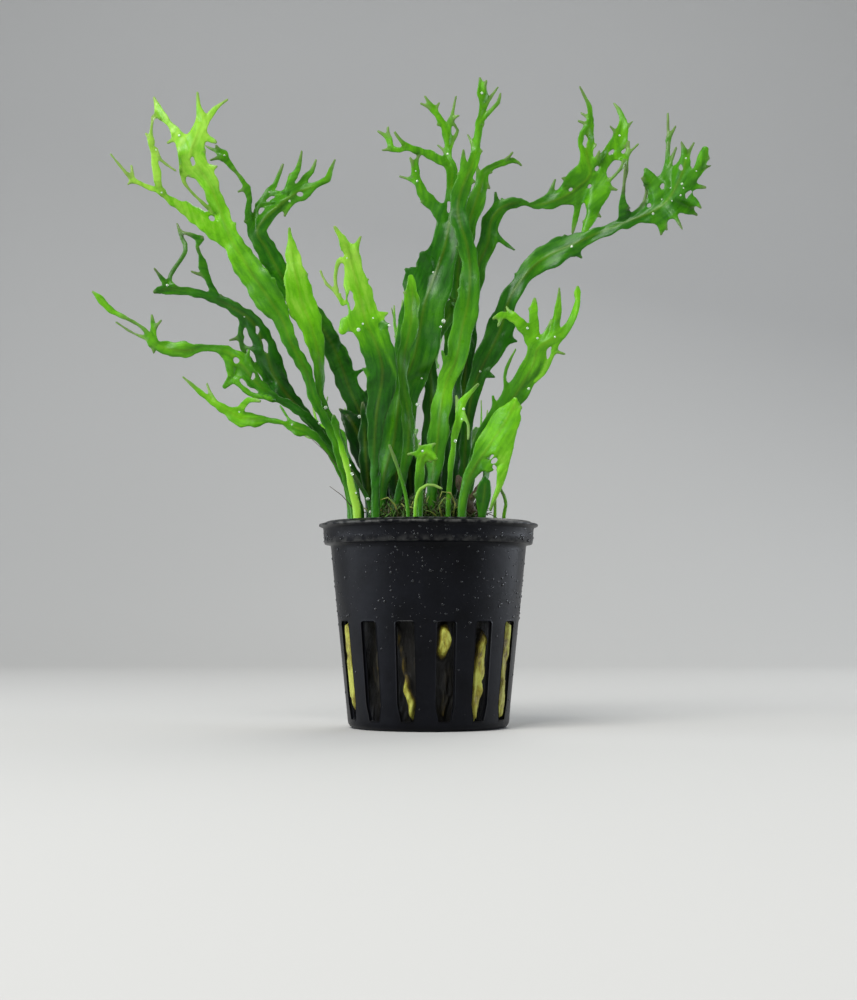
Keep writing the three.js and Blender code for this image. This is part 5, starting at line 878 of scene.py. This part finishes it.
def wool_material():
    """Damp mineral wool: bright olive fibres on the lumps, brown in the hollows, and painted shade, near black,
    deepest in them.
    """
    made, tree = new_material("wool")
    upright = node(tree, "ShaderNodeMapping", {
        "Vector": node(tree, "ShaderNodeTexCoord").outputs["Object"], "Scale": (1, 1, 0.22)}).outputs[0]
    fibres = noise(tree, 1700, 4, 0.65, vector=upright, distortion=0.6)
    patches = noise(tree, 230, 4, 0.6)
    # Low values are painted shade in the hollows, near black; high values are the olive fibres of the lumps
    height = maths(tree, "ADD", attribute(tree, "wool_tone_and_shade"), spread(tree, fibres, 0.3, 0.7, -0.16, 0.16))
    height = maths(tree, "ADD", height, spread(tree, patches, 0.3, 0.7, -0.36, 0.14), clamp=True)
    colour = ramp(tree, height, [
        (0.0, (0.0025, 0.002, 0.001)), (0.3, (0.016, 0.012, 0.002)), (0.55, (0.100, 0.068, 0.004)),
        (0.8, (0.250, 0.225, 0.012)), (1.0, (0.400, 0.420, 0.065))])
    return finished(made, principled(tree, colour, spread(tree, patches, 0.3, 0.7, 0.45, 0.75), {
        "Normal": bump(tree, fibres, 0.8, 0.0005)}))


def moss_material():
    """Threads of moss and root: a value on each thread picks brown, olive or green."""
    made, tree = new_material("moss")
    tone = maths(tree, "ADD", attribute(tree, "tone"), spread(tree, noise(tree, 900, 2), 0.3, 0.7, -0.08, 0.08))
    colour = ramp(tree, tone, [
        (0.0, (0.012, 0.008, 0.004)), (0.35, (0.045, 0.028, 0.010)), (0.6, (0.030, 0.050, 0.003)),
        (0.85, (0.040, 0.150, 0.006)), (1.0, (0.300, 0.320, 0.060))])
    normal = bump(tree, noise(tree, 2500, 2), 0.4, 0.0001)
    return finished(made, principled(tree, colour, 0.6, {"Normal": normal}))


def bark_material():
    """The rhizome's brown skin with darker scales and a green tinge."""
    made, tree = new_material("bark")
    scales = noise(tree, 800, 4, 0.6)
    colour = ramp(tree, scales, [
        (0.25, (0.010, 0.006, 0.003)), (0.5, (0.050, 0.028, 0.009)), (0.75, (0.100, 0.068, 0.020))])
    colour = mixed(tree, spread(tree, noise(tree, 300, 2), 0.5, 0.7, 0.0, 0.5), colour, (0.05, 0.10, 0.012))
    return finished(made, principled(tree, colour, spread(tree, scales, 0.3, 0.7, 0.5, 0.8), {
        "Normal": bump(tree, scales, 0.9, 0.0006)}))


def water_painted_glint_material():
    """Water in drops on the leaves, given a white colour so that they show as painted glints."""
    made, tree = new_material("water")
    return finished(made, principled(tree, (0.9, 1, 0.86, 1), 0.05, {"Transmission Weight": 0.5, "IOR": 1.33}))


def damp_material():
    """Small drops on black plastic: dark, with a clear shine."""
    made, tree = new_material("damp")
    return finished(made, principled(tree, (0.006, 0.007, 0.009, 1), 0.16, {"Specular IOR Level": 0.35}))


def floor_material():
    """Plain pale studio paper."""
    made, tree = new_material("floor")
    colour = ramp(tree, noise(tree, 1.3, 2), [(0.3, (0.46, 0.46, 0.45)), (0.7, (0.49, 0.49, 0.48))])
    return finished(made, principled(tree, colour, 0.85))


def added(name, data):
    """A new object in the scene."""
    made = bpy.data.objects.new(name, data)
    bpy.context.scene.collection.objects.link(made)
    return made


def mesh_object(name, material, points, faces):
    """A smooth mesh object from points in metres."""
    mesh = bpy.data.meshes.new(name)
    mesh.from_pydata(points, [], faces)
    mesh.shade_smooth()
    mesh.materials.append(material)
    return added(name, mesh)


def piece(name, material, slot, replaced, points, faces, values=None):
    """A mesh object from points in millimetres, riding on the part."""
    made = mesh_object(name, material, (np.asarray(points) * MM).tolist(), faces)
    for key, numbers in (values or {}).items():
        layer = made.data.attributes.new(key, "FLOAT", "POINT")
        layer.data.foreach_set("value", np.asarray(numbers, np.float32))
    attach(made, "root")
    if replaced:
        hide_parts(replaced)


def grid_faces(rows, columns, start=0):
    """Quads between rows of points that each go round once."""
    j, i = np.meshgrid(np.arange(rows - 1), np.arange(columns), indexing="ij")
    after = (i + 1) % columns
    quads = [start + j * columns + i, start + j * columns + after, start + (j + 1) * columns + after,
             start + (j + 1) * columns + i]
    return np.stack([q.ravel() for q in quads], 1)


def tube_faces(rows, sides, start):
    """The faces of a closed tube: its sides, then a flat end at its first and at its last ring."""
    last = start + (rows - 1) * sides
    ends = [[start + k for k in reversed(range(sides))], [last + k for k in range(sides)]]
    return grid_faces(rows, sides, start).tolist() + ends


def spokes(right, up, sides):
    """Each angle round a ring, with the unit vector that way."""
    angles = [2 * math.pi * k / sides for k in range(sides)]
    return [(a, math.cos(a) * right + math.sin(a) * up) for a in angles]


# Pot, in millimetres
RIM_RADIUS = 27
LIP_RADIUS = 25.4
LIP_TOP = 50.3
COLLAR_RADIUS = 25.9
COLLAR_FOOT = 44.8
SHOULDER_RADIUS = 24.1
FOOT_RADIUS = 19.6
WALL = 1.0
FLOOR = 1.2
SLOT_COUNT = 14
FIRST_SLOT = 11
SLOT_HALF = 2.3
SLOT_BOTTOM = 2.4
SLOT_TOP = 26
SLOT_TAPER = 4
SLOT_CORNER = 0.6
SLOT_PITCH = 360 / SLOT_COUNT


def wall_radius(height):
    return FOOT_RADIUS + (SHOULDER_RADIUS - FOOT_RADIUS) * height / COLLAR_FOOT


def slot_half(height):
    """Half the width of a slot at a height, with rounded top corners and a narrower foot."""
    tapered = np.interp(height, [SLOT_BOTTOM, SLOT_BOTTOM + SLOT_TAPER], [0.64 * SLOT_HALF, SLOT_HALF])
    corner = np.clip((height - (SLOT_TOP - SLOT_CORNER)) / SLOT_CORNER, 0, 1)
    return tapered - SLOT_CORNER * (1 - np.sqrt(1 - corner**2))


def pot_mesh():
    """The moulded pot: the outside from the middle of its foot to the rim, and down inside to its floor."""
    rim = [(wall_radius(43.4), 43.4), (wall_radius(44.2), 44.2), (wall_radius(44.5) + 0.1, 44.55),
           (COLLAR_RADIUS - 0.75, 44.75), (COLLAR_RADIUS - 0.45, 44.8), (COLLAR_RADIUS - 0.25, 45.1),
           (COLLAR_RADIUS - 0.1, 46.5), (COLLAR_RADIUS, 48.4), (COLLAR_RADIUS + 0.15, 48.85),
           (RIM_RADIUS - 0.35, 49.1), (RIM_RADIUS - 0.05, 49.25), (RIM_RADIUS, 49.5),
           (RIM_RADIUS - 0.1, 49.75), (RIM_RADIUS - 0.5, 49.85), (LIP_RADIUS + 0.4, 49.9), (LIP_RADIUS, 50.05),
           (LIP_RADIUS - 0.2, 50.32), (LIP_RADIUS - 0.5, 50.4), (LIP_RADIUS - 0.85, LIP_TOP), (24.4, 49.4),
           (24.1, 46.5),
           (wall_radius(44.5) - WALL, 44.4), (wall_radius(43.4) - WALL, 43.4)]
    foot = [(0.01, 0.35), (14, 0.35), (16.2, 0.3), (16.8, 0.0), (FOOT_RADIUS - 1.6, 0.0),
            (FOOT_RADIUS - 0.9, 0.12), (FOOT_RADIUS - 0.35, 0.5), (wall_radius(1.1) - 0.05, 1.1),
            (wall_radius(1.8), 1.8)]
    bottom = [(wall_radius(FLOOR + 0.9) - WALL, FLOOR + 0.9), (wall_radius(FLOOR) - WALL - 0.5, FLOOR + 0.1),
              (15, FLOOR), (0.01, FLOOR)]
    levels = np.array([SLOT_BOTTOM, 2.8, 3.6, 4.8, 6.4, 9, 12, 15, 18, 21, 23.5, 25.4, 25.6, 25.75, 25.88,
                       25.96, SLOT_TOP])
    above = np.array([26.4, 27.5, 30, 33, 36, 39, 41.5])
    across = np.array([-1, -0.6, -0.2, 0.2, 0.6, 1])
    between = np.linspace(0, 1, 14)[1:-1]

    def angles(height):
        """Columns round the pot at a height: each slot from edge to edge, then the rib to the next one."""
        half = np.degrees(slot_half(np.clip(height, SLOT_BOTTOM, SLOT_TOP)) / wall_radius(height))
        found = []
        for n in range(SLOT_COUNT):
            middle = FIRST_SLOT + SLOT_PITCH * n
            found.extend(middle + across * half)
            found.extend(middle + half + between * (SLOT_PITCH - 2 * half))
        return np.radians(np.array(found))

    profile = [(r, z, "plain") for r, z in foot]
    profile += [(wall_radius(z), z, "slotted") for z in levels]
    profile += [(wall_radius(z), z, "plain") for z in above]
    profile += [(r, z, "plain") for r, z in rim]
    profile += [(wall_radius(z) - WALL, z, "plain") for z in above[::-1]]
    profile += [(wall_radius(z) - WALL, z, "slotted") for z in levels[::-1]]
    profile += [(r, z, "plain") for r, z in bottom]
    points = []
    for radius, height, _ in profile:
        turn = angles(height)
        x, y = radius * np.sin(turn), -radius * np.cos(turn)
        points.extend(np.column_stack([x, y, np.full_like(turn, height)]))
    columns = len(angles(0))
    per_slot = columns // SLOT_COUNT
    quads = grid_faces(len(profile), columns).reshape(len(profile) - 1, columns, 4)
    in_slot = np.arange(columns) % per_slot < len(across) - 1
    kinds = [kind for _, _, kind in profile]
    faces = []
    for row in range(len(profile) - 1):
        cut = kinds[row] == kinds[row + 1] == "slotted"
        faces.extend(quads[row][~in_slot if cut else slice(None)].tolist())
    first = len(foot)
    last_outside = first + len(levels) - 1
    first_inside = len(profile) - len(bottom) - len(levels)

    def through(*edge):
        """A face through the wall: from two outside corners, each a row and a column, to the inside ones."""
        outside = [row * columns + column for row, column in edge]
        inside = [(first_inside + last_outside - row) * columns + column for row, column in edge]
        return outside + inside[::-1]

    for n in range(SLOT_COUNT):
        left, right = n * per_slot, n * per_slot + len(across) - 1
        for row in range(first, last_outside):
            faces.append(through((row, left), (row + 1, left)))
            faces.append(through((row + 1, right), (row, right)))
        for column in range(left, right):
            faces.append(through((first, column + 1), (first, column)))
            faces.append(through((last_outside, column), (last_outside, column + 1)))
    points = np.array(points)
    radius = np.hypot(points[:, 0], points[:, 1])
    height = points[:, 2]

    def near(distance, reach):
        return np.clip(1 - np.abs(distance) / reach, 0, 1)

    worn = (near(radius - RIM_RADIUS, 0.5) + near(height - LIP_TOP, 0.2)
            + 0.6 * near(radius - COLLAR_RADIUS + 0.35, 0.25) * (height < 46))
    return points, faces, {"worn": np.clip(worn, 0, 1)}


def drops_mesh(drops):
    """Water drops as low domes: each is a place, the way that its surface faces, a radius and a height."""
    points, faces = [], []
    rings = [(1.0, -0.12), (0.97, 0.22), (0.82, 0.58), (0.5, 0.88)]
    sides = 9
    for place, facing, radius, height in drops:
        facing = Vector(facing).normalized()
        right = facing.cross(Vector((0, 0, 1)))
        right = right.normalized() if right.length > 0.1 else Vector((1, 0, 0))
        up = right.cross(facing)
        start = len(points)
        for reach, lift in rings:
            points.extend(Vector(place) + radius * reach * out + facing * lift * height
                          for _, out in spokes(right, up, sides))
        points.append(Vector(place) + facing * height)
        faces.extend(grid_faces(len(rings), sides, start).tolist())
        last = start + (len(rings) - 1) * sides
        faces.extend([last + k, last + (k + 1) % sides, len(points) - 1] for k in range(sides))
        faces.append([start + k for k in reversed(range(sides))])
    return np.array([tuple(p) for p in points]), faces


POT_DROPS = 1300


def pot_drops():
    """Condensation on the outside of the pot, fine and uneven, with a few bigger drops."""
    draw = random.Random(7)
    found = []
    while len(found) < POT_DROPS:
        angle = math.radians(draw.uniform(0, 360))
        height = draw.choice([draw.uniform(3, 26), draw.uniform(22, 44.2), draw.uniform(22, 44.2),
                              draw.uniform(45.4, 48.6)])
        if height < SLOT_TOP + 0.6:
            degrees = (math.degrees(angle) - FIRST_SLOT) % SLOT_PITCH
            degrees = min(degrees, SLOT_PITCH - degrees)
            if math.radians(degrees) * wall_radius(height) < SLOT_HALF + 0.35:
                continue
            if draw.random() < 0.45:
                continue
        patch = math.sin(5.1 * angle + 0.21 * height) * math.sin(2.3 * angle - 0.33 * height + 1)
        if draw.random() > 0.72 + 0.35 * patch:
            continue
        radius = COLLAR_RADIUS - 0.12 if height > 45 else wall_radius(height)
        size = 0.1 + 0.32 * draw.random() ** 3
        outward = Vector((math.sin(angle), -math.cos(angle), -0.1))
        place = (radius * math.sin(angle), -radius * math.cos(angle), height)
        found.append((place, outward, size, 0.5 * size))
    return found


# Lumps of wool behind the slots that the front shows: degrees from the front, height, half height, half width,
# tilt in degrees and how far each stands out
WOOL_LUMPS = [
    (-68, 15.5, 15, 3.6, 3, 1.0), (-41, 12, 9, 1.1, 2, 0.3), (-37.5, 8, 6, 0.9, 4, 0.42),
    (-20, 18, 8, 0.7, 8, 0.42), (-13.6, 7.4, 6.6, 1.2, 12, 0.9),
    (10.6, 21.2, 4.6, 2.0, -6, 1.0), (12.6, 9, 6, 1.2, 0, 0.3),
    (39.4, 19, 5.4, 1.5, -10, 0.9), (36, 14, 6.5, 2.3, -12, 0.98), (35, 8.6, 7, 2.2, -6, 0.96),
    (33.5, 5, 5.6, 2.0, -8, 1.0), (66, 21, 8, 3.2, 0, 0.98), (65, 14.6, 8, 3.4, 4, 0.95),
    (64, 7.4, 8, 3.2, -4, 1.0),
]
BACK_LUMPS = 90
LUMP_RADIUS = 19.5
HOLLOW_DEPTH = 2.6
WOOL_FOOT = 1.6
WOOL_SHOULDER = 47.6
WOOL_CROWN = 2.6
WOOL_COLUMNS = 420
WOOL_RINGS = 22


def wool_mesh():
    """The plug of mineral wool: upright lumps that press against the slots, with hollows between them, dark
    with painted shade.
    """
    draw = random.Random(3)
    lumps = list(WOOL_LUMPS)
    for _ in range(BACK_LUMPS):
        degrees = draw.uniform(76, 284)
        lumps.append((degrees, draw.uniform(3, 26), draw.uniform(3, 9), draw.uniform(0.8, 2.2),
                      draw.uniform(-14, 14), draw.uniform(0.3, 1)))
    round_angles = np.linspace(0, 2 * math.pi, WOOL_COLUMNS, endpoint=False)
    levels = np.concatenate([[WOOL_FOOT], np.linspace(1.9, 29, 84), np.linspace(30, WOOL_SHOULDER, 22)])
    angle, height = np.meshgrid(round_angles, levels)
    limit = wall_radius(height) - WALL - 0.12
    stand = np.zeros_like(angle)
    for degrees, z, half_height, half_width, tilt, out in lumps:
        turn = (angle - math.radians(degrees) + math.pi) % (2 * math.pi) - math.pi
        u, v = tilted(turn * LUMP_RADIUS, height - z, tilt)
        u = u + 0.25 * np.sin(1.1 * v + degrees)
        form = 1 - np.sqrt((u / half_width) ** 2 + (v / half_height) ** 2)
        stand = np.maximum(stand, out * np.clip(2.2 * form, 0, 1) ** 0.5)
    twist = 0.16 * np.sin(33 * angle + 0.35 * height) + 0.12 * np.sin(
        71 * angle - 0.6 * height + 2 * np.sin(0.5 * height))
    full = smoothstep(height, 26.5, 29)
    stand = np.clip(np.maximum(stand, 0.75 * full) + 0.3 * twist, 0, 1)
    turn = (np.degrees(angle) - FIRST_SLOT + SLOT_PITCH / 2) % SLOT_PITCH - SLOT_PITCH / 2
    room = slot_half(np.clip(height, SLOT_BOTTOM, SLOT_TOP)) - 0.25
    room = room - np.abs(np.radians(turn)) * wall_radius(height)
    room = np.minimum(room, np.minimum(height - SLOT_BOTTOM - 0.3, SLOT_TOP - 0.3 - height))
    radius = limit - HOLLOW_DEPTH * (1 - stand) + 0.9 * stand**2 * smoothstep(room, 0, 0.7)
    side = [radius * np.sin(angle), -radius * np.cos(angle), height]
    points = np.column_stack([axis.ravel() for axis in side])
    faces = grid_faces(len(levels), WOOL_COLUMNS).tolist()
    # This value is high on the lumps and low in the hollows and on the crown; the wool material paints low
    # values as shade
    wool_tone_and_shade = (stand * (1 - 0.6 * full) + 0.1 * twist).ravel()
    start = len(points)
    around, out = np.meshgrid(round_angles, np.linspace(1, 0.02, WOOL_RINGS))
    far = out * (wall_radius(WOOL_SHOULDER) - WALL - 0.15)
    x, y = far * np.sin(around), -far * np.cos(around)
    z = WOOL_SHOULDER + (1 - out**2) * WOOL_CROWN + 0.5 * ripples(x, y, 6, 1) * np.minimum(4 * (1 - out), 1)
    z = z + 0.25 * ripples(x, y, 2.2, 4)
    points = np.concatenate([points, np.column_stack([x.ravel(), y.ravel(), z.ravel()])])
    faces += grid_faces(WOOL_RINGS, WOOL_COLUMNS, start).tolist()
    wool_tone_and_shade = np.concatenate([wool_tone_and_shade, 0.16 + 0.14 * ripples(x, y, 3, 2).ravel()])
    middle = len(points)
    points = np.concatenate([points, [[0, 0, 50.1], [0, 0, WOOL_FOOT]]])
    last = start + (WOOL_RINGS - 1) * WOOL_COLUMNS
    beyond = [(k + 1) % WOOL_COLUMNS for k in range(WOOL_COLUMNS)]
    faces += [[last + k, last + after, middle] for k, after in enumerate(beyond)]
    faces += [[after, k, middle + 1] for k, after in enumerate(beyond)]
    return points, faces, {"wool_tone_and_shade": np.concatenate([wool_tone_and_shade, [0.2, 0.1]])}


def threads_mesh(threads):
    """Thin round threads along lists of points, each with its radius at the root and its tone."""
    points, faces, tones = [], [], []
    sides = 4
    for path, radius, tone in threads:
        start = len(points)
        for n, place in enumerate(path):
            ahead = Vector(path[min(n + 1, len(path) - 1)]) - Vector(path[max(n - 1, 0)])
            ahead.normalize()
            right = ahead.cross(Vector((0.3, 0.2, 1))).normalized()
            up = right.cross(ahead)
            thin = radius * (1 - 0.6 * n / (len(path) - 1))
            points.extend(Vector(place) + thin * out for _, out in spokes(right, up, sides))
            tones.extend([tone] * sides)
        faces.extend(tube_faces(len(path), sides, start))
    return np.array([tuple(p) for p in points]), faces, {"tone": tones}


# Moss: how many threads lie low and how many stand in tufts, and how far from the middle they start and end
LOW_THREADS = 1100
TUFT_THREADS = 2200
THREAD_STEPS = 6
MOSS_START = 21.5
MOSS_END = 22.6


def moss_threads():
    """Moss and fine roots in a low tangle on top of the plug, thickest round the rhizome."""
    draw = random.Random(11)
    found = []
    for n in range(LOW_THREADS + TUFT_THREADS):
        tuft = n >= LOW_THREADS
        if tuft:
            x, y = draw.uniform(-14, 12), draw.uniform(-13, 15)
            far = math.hypot(x, y)
        elif n % 3:
            angle, far = draw.uniform(0, 2 * math.pi), MOSS_START * math.sqrt(draw.random())
            x, y = far * math.cos(angle), far * math.sin(angle)
        else:
            x, y = draw.gauss(3, 7), draw.gauss(-14, 4)
            far = math.hypot(x, y)
            if far > MOSS_START:
                continue
        z = 47.8 + 2.4 * (1 - (far / 23) ** 2)
        heading, climb = draw.uniform(0, 2 * math.pi), draw.uniform(0.1, 1.1)
        bend, length = draw.uniform(-0.7, 0.7), draw.uniform(2, 5.5)
        if tuft:
            climb, length = draw.uniform(1.2, 2.1), draw.uniform(5, 11) * (1 - 0.4 * far / 20)
        path = []
        stride = length / THREAD_STEPS
        for _ in range(THREAD_STEPS):
            path.append((x, y, z))
            heading += bend
            climb -= 0.2 if tuft else 0.42
            x += stride * math.cos(heading) * math.cos(climb)
            y += stride * math.sin(heading) * math.cos(climb)
            z += stride * math.sin(climb)
            if math.hypot(x, y) > MOSS_END:
                break
        if len(path) > 2:
            tone = draw.gauss(0.66, 0.14) if tuft else draw.gauss(0.45, 0.22)
            found.append((path, draw.uniform(0.07, 0.17) * (2.2 if tuft else 1), min(1, max(0, tone))))
    return found


# Thin brown roots that hang over the left of the rim and stand beside the stems, in millimetres
LOOSE_ROOTS = [
    [(5.6, -14, 50), (6.4, -15, 54), (5.2, -15.6, 56.6), (3.2, -15.8, 56.8), (2.6, -15.6, 55)],
    [(3.4, -15, 50), (2.6, -16, 53.6), (3.8, -16.4, 55.4), (5.4, -16.2, 54.8)],
    [(-6.4, -12, 50), (-8.2, -13, 54), (-9.8, -13.4, 55.6), (-11.6, -13.4, 55)],
    [(-17.4, -7, 49), (-19.4, -8, 56), (-20.9, -9, 61), (-22.4, -9.6, 64), (-25.4, -10, 67.4),
     (-29.2, -10.5, 70.8)],
    [(-15.8, -10, 49), (-18.4, -11, 53.4), (-20.8, -11.6, 56.2), (-23.8, -12, 58.4)],
    [(11.4, -12, 50), (12.8, -13, 52.4), (15, -14.4, 51.4), (17, -16, 50.2)],
    [(8.4, -13.4, 50), (8.8, -14.2, 53), (8, -14.6, 56.4), (8.6, -14.8, 59)],
]


def rhizome_mesh():
    """The creeping stem: a rough tube from the plug, with a stub and a root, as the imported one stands."""
    points, faces = [], []
    sides = 20
    tubes = [([(10.6, -11, 46), (10.6, -11.2, 52), (8.6, -11.6, 56.5), (7, -12.4, 61)], 1.15, 26),
             ([(9.4, -11.4, 54.6), (11.6, -11.6, 57), (12.4, -11.8, 59)], 0.75, 12),
             ([(10.6, -11.2, 51.5), (12.6, -12, 52.6), (14.2, -13.2, 51.4)], 0.42, 12)]
    for nodes, radius, count in tubes:
        shares = np.linspace(0, 1, len(nodes))
        line = np.column_stack([np.interp(np.linspace(0, 1, count), shares, axis) for axis in zip(*nodes)])
        for _ in range(6):
            line[1:-1] = (line[:-2] + 2 * line[1:-1] + line[2:]) / 4
        start = len(points)
        for n, place in enumerate(line):
            ahead = Vector(line[min(n + 1, count - 1)] - line[max(n - 1, 0)]).normalized()
            right = ahead.cross(Vector((0, 1, 0.2))).normalized()
            up = right.cross(ahead)
            taper = math.sqrt(max(0.12, min(1, (count - 1 - n) / 3)))
            for a, out in spokes(right, up, sides):
                rough = 1 + 0.1 * math.sin(3 * a + 1.9 * n) + 0.08 * math.sin(1.3 * n + 5 * a)
                points.append(Vector(place) + radius * taper * rough * out)
        faces.extend(tube_faces(count, sides, start))
    return np.array([tuple(p) for p in points]), faces


def add_light(name, place, target, size, power, colour=(1, 1, 1), tall=None):
    data = bpy.data.lights.new(name, "AREA")
    data.shape = "RECTANGLE"
    data.size = size
    data.size_y = tall or size
    data.energy = power
    data.color = colour
    light = added(name, data)
    light.location = place
    light.rotation_euler = (Vector(target) - Vector(place)).to_track_quat("-Z", "Y").to_euler()


# Studio, in metres: how far the floor reaches to the sides and the front, where it starts to rise at the back,
# the radius of its sweep and the height of the backdrop
FLOOR_REACH = 7
SWEEP_START = 0.55
SWEEP_RADIUS = 0.5
BACKDROP_TOP = 2.2


def add_studio():
    """A pale floor that sweeps up behind, soft lights from above and both sides, and the camera."""
    sweep = np.linspace(0.1, math.pi / 2, 14)
    profile = [(-FLOOR_REACH, 0.0), (SWEEP_START, 0.0)]
    profile += [(SWEEP_START + SWEEP_RADIUS * math.sin(a), SWEEP_RADIUS - SWEEP_RADIUS * math.cos(a))
                for a in sweep]
    profile += [(SWEEP_START + SWEEP_RADIUS, BACKDROP_TOP)]
    points = [(x, y, z) for y, z in profile for x in (-FLOOR_REACH, FLOOR_REACH)]
    faces = [[2 * n, 2 * n + 1, 2 * n + 3, 2 * n + 2] for n in range(len(profile) - 1)]
    mesh_object("floor", floor_material(), points, faces)
    add_light("key", (-0.3, -0.55, 0.75), (0, 0, 0.08), 0.5, 9.5, (1, 0.99, 0.96))
    add_light("left", (-0.79, -0.11, 0.15), (0, 0, 0.04), 0.9, 5, (0.84, 0.90, 1), 0.28)
    add_light("right", (0.79, 0.14, 0.15), (0, 0, 0.04), 0.9, 5, (0.84, 0.90, 1), 0.28)
    add_light("back", (0.2, 0.5, 0.7), (0, 0, 0.1), 0.5, 3, (1, 1, 0.97))
    world = bpy.data.worlds.new("studio")
    world.use_nodes = True
    background = world.node_tree.nodes["Background"]
    background.inputs["Color"].default_value = (0.94, 0.96, 1, 1)
    background.inputs["Strength"].default_value = 0.24
    bpy.context.scene.world = world
    bpy.context.scene.view_settings.view_transform = "Standard"
    data = bpy.data.cameras.new("camera")
    data.lens = LENS
    data.sensor_width = 36
    data.clip_start = 0.01
    camera = added("camera", data)
    camera.location = (0, -EYE_DISTANCE * MM, EYE_HEIGHT * MM)
    camera.rotation_euler = (math.radians(90 + EYE_TILT), 0, 0)
    bpy.context.scene.camera = camera


leaf = leaf_material()
water = water_painted_glint_material()
drops = []
fronds = [(name, frond, index, seen_from_front) for index, (name, frond) in enumerate(FRONT_FRONDS.items())]
fronds += [(name, frond, index, leaning_back(frond))
           for index, (name, frond) in enumerate(BACK_FRONDS.items(), 3)]
for name, frond, index, place in fronds:
    points, faces, values, wet = leaf_mesh(name, frond, index, place)
    piece("leaf_" + name, leaf, "leaf", "frond_" + name, points, faces, values)
    drops.extend((spot, facing, DROP_WIDTH * size, DROP_HEIGHT * size) for spot, facing, size in wet)
piece("leaf_drops", water, None, None, *drops_mesh(drops))
piece("net_pot", plastic_material(), "plastic", "pot", *pot_mesh())
piece("pot_drops", damp_material(), None, None, *drops_mesh(pot_drops()))
piece("wool_plug", wool_material(), "wool", "rockwool", *wool_mesh())
threads = moss_threads() + [(path, 0.3, 0.95) for path in LOOSE_ROOTS[:3]]
threads += [(path, 0.16, 0.3) for path in LOOSE_ROOTS[3:]]
piece("moss_and_roots", moss_material(), "wood", None, *threads_mesh(threads))
piece("creeping_stem", bark_material(), "wood", "rhizome", *rhizome_mesh())
add_studio()
